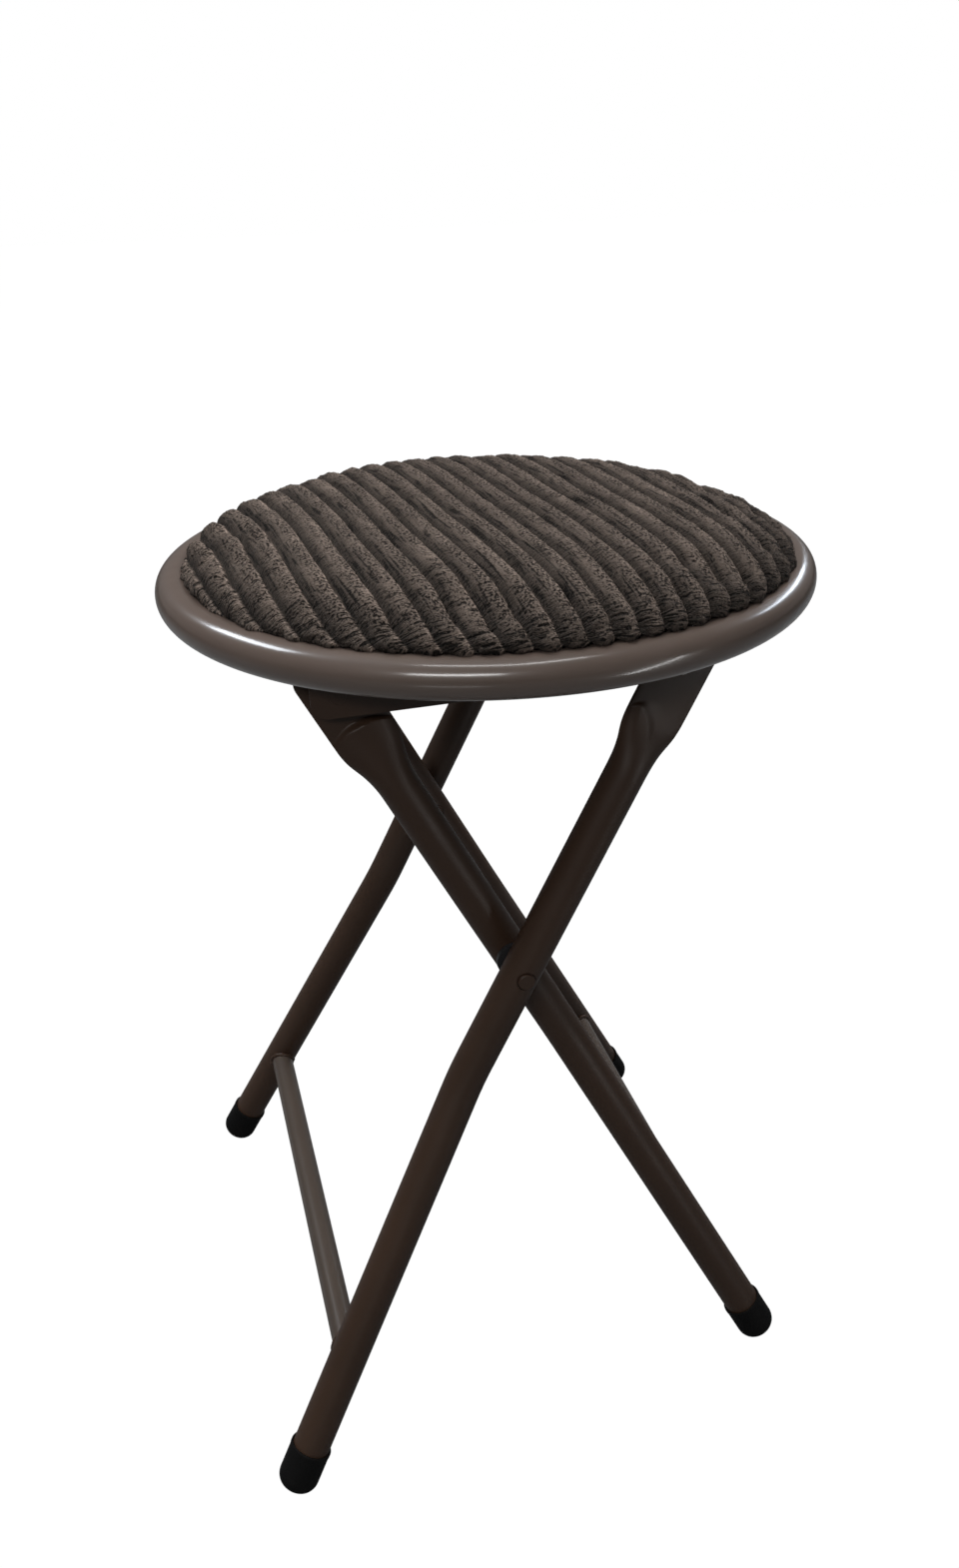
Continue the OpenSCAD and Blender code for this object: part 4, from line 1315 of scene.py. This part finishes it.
# %% Fibres: curls on the ridges, ribs in the troughs, comb marks across where the cloth turns down
cord, tree, shader = new_material(
    "plush_corduroy", (0.06, 0.046, 0.039), Roughness=0.95, Sheen_Weight=0.06, Sheen_Roughness=0.35,
    Specular_IOR_Level=0.1)
shader.inputs["Sheen Tint"].default_value = (0.80, 0.68, 0.60, 1)
cloth_uv = add(tree, "ShaderNodeUVMap", uv_map="cloth").outputs["UV"]
to_rim = add(tree, "ShaderNodeAttribute", attribute_name="rim").outputs["Fac"]
split = tree.nodes.new("ShaderNodeSeparateXYZ")
tree.links.new(cloth_uv, split.inputs["Vector"])
place_in_wale = math_node(tree, "FRACT", split.outputs["X"])
ribs = threads(cloth_noise((6.5, 0.35)))
crosswise = threads(cloth_noise((1.3, 7.5)))
curls = map_range(tree, cloth_noise(10.0).outputs["Fac"], 0.0, 1.0, 0.34, 0.66)
in_trough = map_range(tree, place_in_wale, 1.0, 0.0, 0.35, 0.6)
brushed = map_range(tree, cloth_noise((0.6, 0.3)).outputs["Fac"], 0.0, 1.0, 0.42, 0.62)
turned = math_node(tree, "MAXIMUM", to_rim, math_node(tree, "MULTIPLY", brushed, 0.7), clamp=True)
combing = blend_value(turned, blend_value(in_trough, curls, ribs), crosswise)
relief = math_node(tree, "ADD", math_node(tree, "MULTIPLY", combing, 0.65),
                   math_node(tree, "MULTIPLY", curls, 0.35))
print("fibre nodes:", len(tree.nodes))

# %% Nap: how ruffled it is, and the colour that follows, darker in the fibres' dips as painted shade
nap = cloth_noise((1.3, 0.42), 3.0, 0.55).outputs["Fac"]
ruffled = map_range(tree, cloth_noise((0.7, 0.3)).outputs["Fac"], 0.7, 2.0, 0.4, 0.58)
ruffled = math_node(tree, "ADD", ruffled, to_rim)
# Where the fibre relief is low the colour is darkened: painted shade between the fibres, stronger where the
# nap is ruffled and at the front rim. The nap itself adds tone that differs at random.
depth = math_node(tree, "MULTIPLY", math_node(tree, "SUBTRACT", relief, 0.5), ruffled)
nap_and_fibre_shade = math_node(tree, "ADD", math_node(tree, "MULTIPLY", depth, 1.3), math_node(tree, "MULTIPLY", nap, 0.5))
nap_and_fibre_shade = map_range(tree, nap_and_fibre_shade, 0.0, 1.0, 0.02, 0.46)
pile = mix_color(tree, nap_and_fibre_shade, (0.006, 0.0046, 0.0037), (0.134, 0.104, 0.086))
print("nap nodes:", len(tree.nodes))

# %% Painted light and shade in bands along each wale, from one furrow to the next
# Places across the wale and brightness: painted shadow just past the furrow, rising to a thin painted
# highlight at the wale's far edge.
WALE_SHADE_AND_HIGHLIGHT = ((0.0, 0.4), (0.06, 0.17), (0.2, 0.26), (0.4, 0.62), (0.6, 1.05), (0.86, 1.45), (0.935, 2.5),
              (1.0, 0.7))
brightest = max(value for _, value in WALE_SHADE_AND_HIGHLIGHT)
painted_wale_shade = tree.nodes.new("ShaderNodeValToRGB")
tree.links.new(place_in_wale, painted_wale_shade.inputs["Fac"])
ramp = painted_wale_shade.color_ramp
for spot, value in WALE_SHADE_AND_HIGHLIGHT:
    if 0.0 < spot < 1.0:
        stop = ramp.elements.new(spot)
    else:
        stop = ramp.elements[-1 if spot else 0]
    stop.color = (value / brightest, value / brightest, value / brightest, 1)
# Towards the front rim the painted bands are scaled down, so the cloth is darker where it turns down.
deep = math_node(tree, "MULTIPLY", painted_wale_shade.outputs["Color"], map_range(tree, to_rim, 2.4, 1.65))
painted_bands = tree.nodes.new("ShaderNodeVectorMath")
painted_bands.operation = "SCALE"
tree.links.new(pile, painted_bands.inputs[0])
tree.links.new(deep, painted_bands.inputs["Scale"])
tree.links.new(painted_bands.outputs["Vector"], shader.inputs["Base Color"])
add_bump(tree, shader, depth, 1.0, 0.0015)
print("bands:", len(ramp.elements))

# %% Put the cover on the seat
cover.data.materials.append(cord)
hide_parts("seat_cover", "seat_foam")
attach(cover, "seat")
print("cover wears", cord.name)

# %% [markdown]
# ## Floor finish
# The studio floor is pale and even, and the stool stands on it without a hard shadow. A plain white
# floor would throw so much light up that the dark legs would turn grey. So the floor's own paint is
# dull, and for the camera alone most of it glows softly white.

# %% Floor finish
floor_paint, tree, shader = new_material("pale_floor", (0.13, 0.13, 0.13), Roughness=0.8)
sweep = group_node(tree, mottle, Scale=1.5, Low=0.3, High=0.7)
tree.links.new(mix_color(tree, sweep.outputs["Mask"], (0.125, 0.125, 0.125), (0.135, 0.135, 0.135)),
               shader.inputs["Base Color"])
glow = tree.nodes.new("ShaderNodeEmission")
glow.inputs["Strength"].default_value = 1.08
seen = tree.nodes.new("ShaderNodeLightPath")
lit = tree.nodes.new("ShaderNodeMixShader")
tree.links.new(math_node(tree, "MULTIPLY", seen.outputs["Is Camera Ray"], 0.93), lit.inputs["Fac"])
tree.links.new(shader.outputs["BSDF"], lit.inputs[1])
tree.links.new(glow.outputs["Emission"], lit.inputs[2])
tree.links.new(lit.outputs["Shader"], tree.nodes["Material Output"].inputs["Surface"])
floor.data.materials.append(floor_paint)
print("floor wears", floor_paint.name)
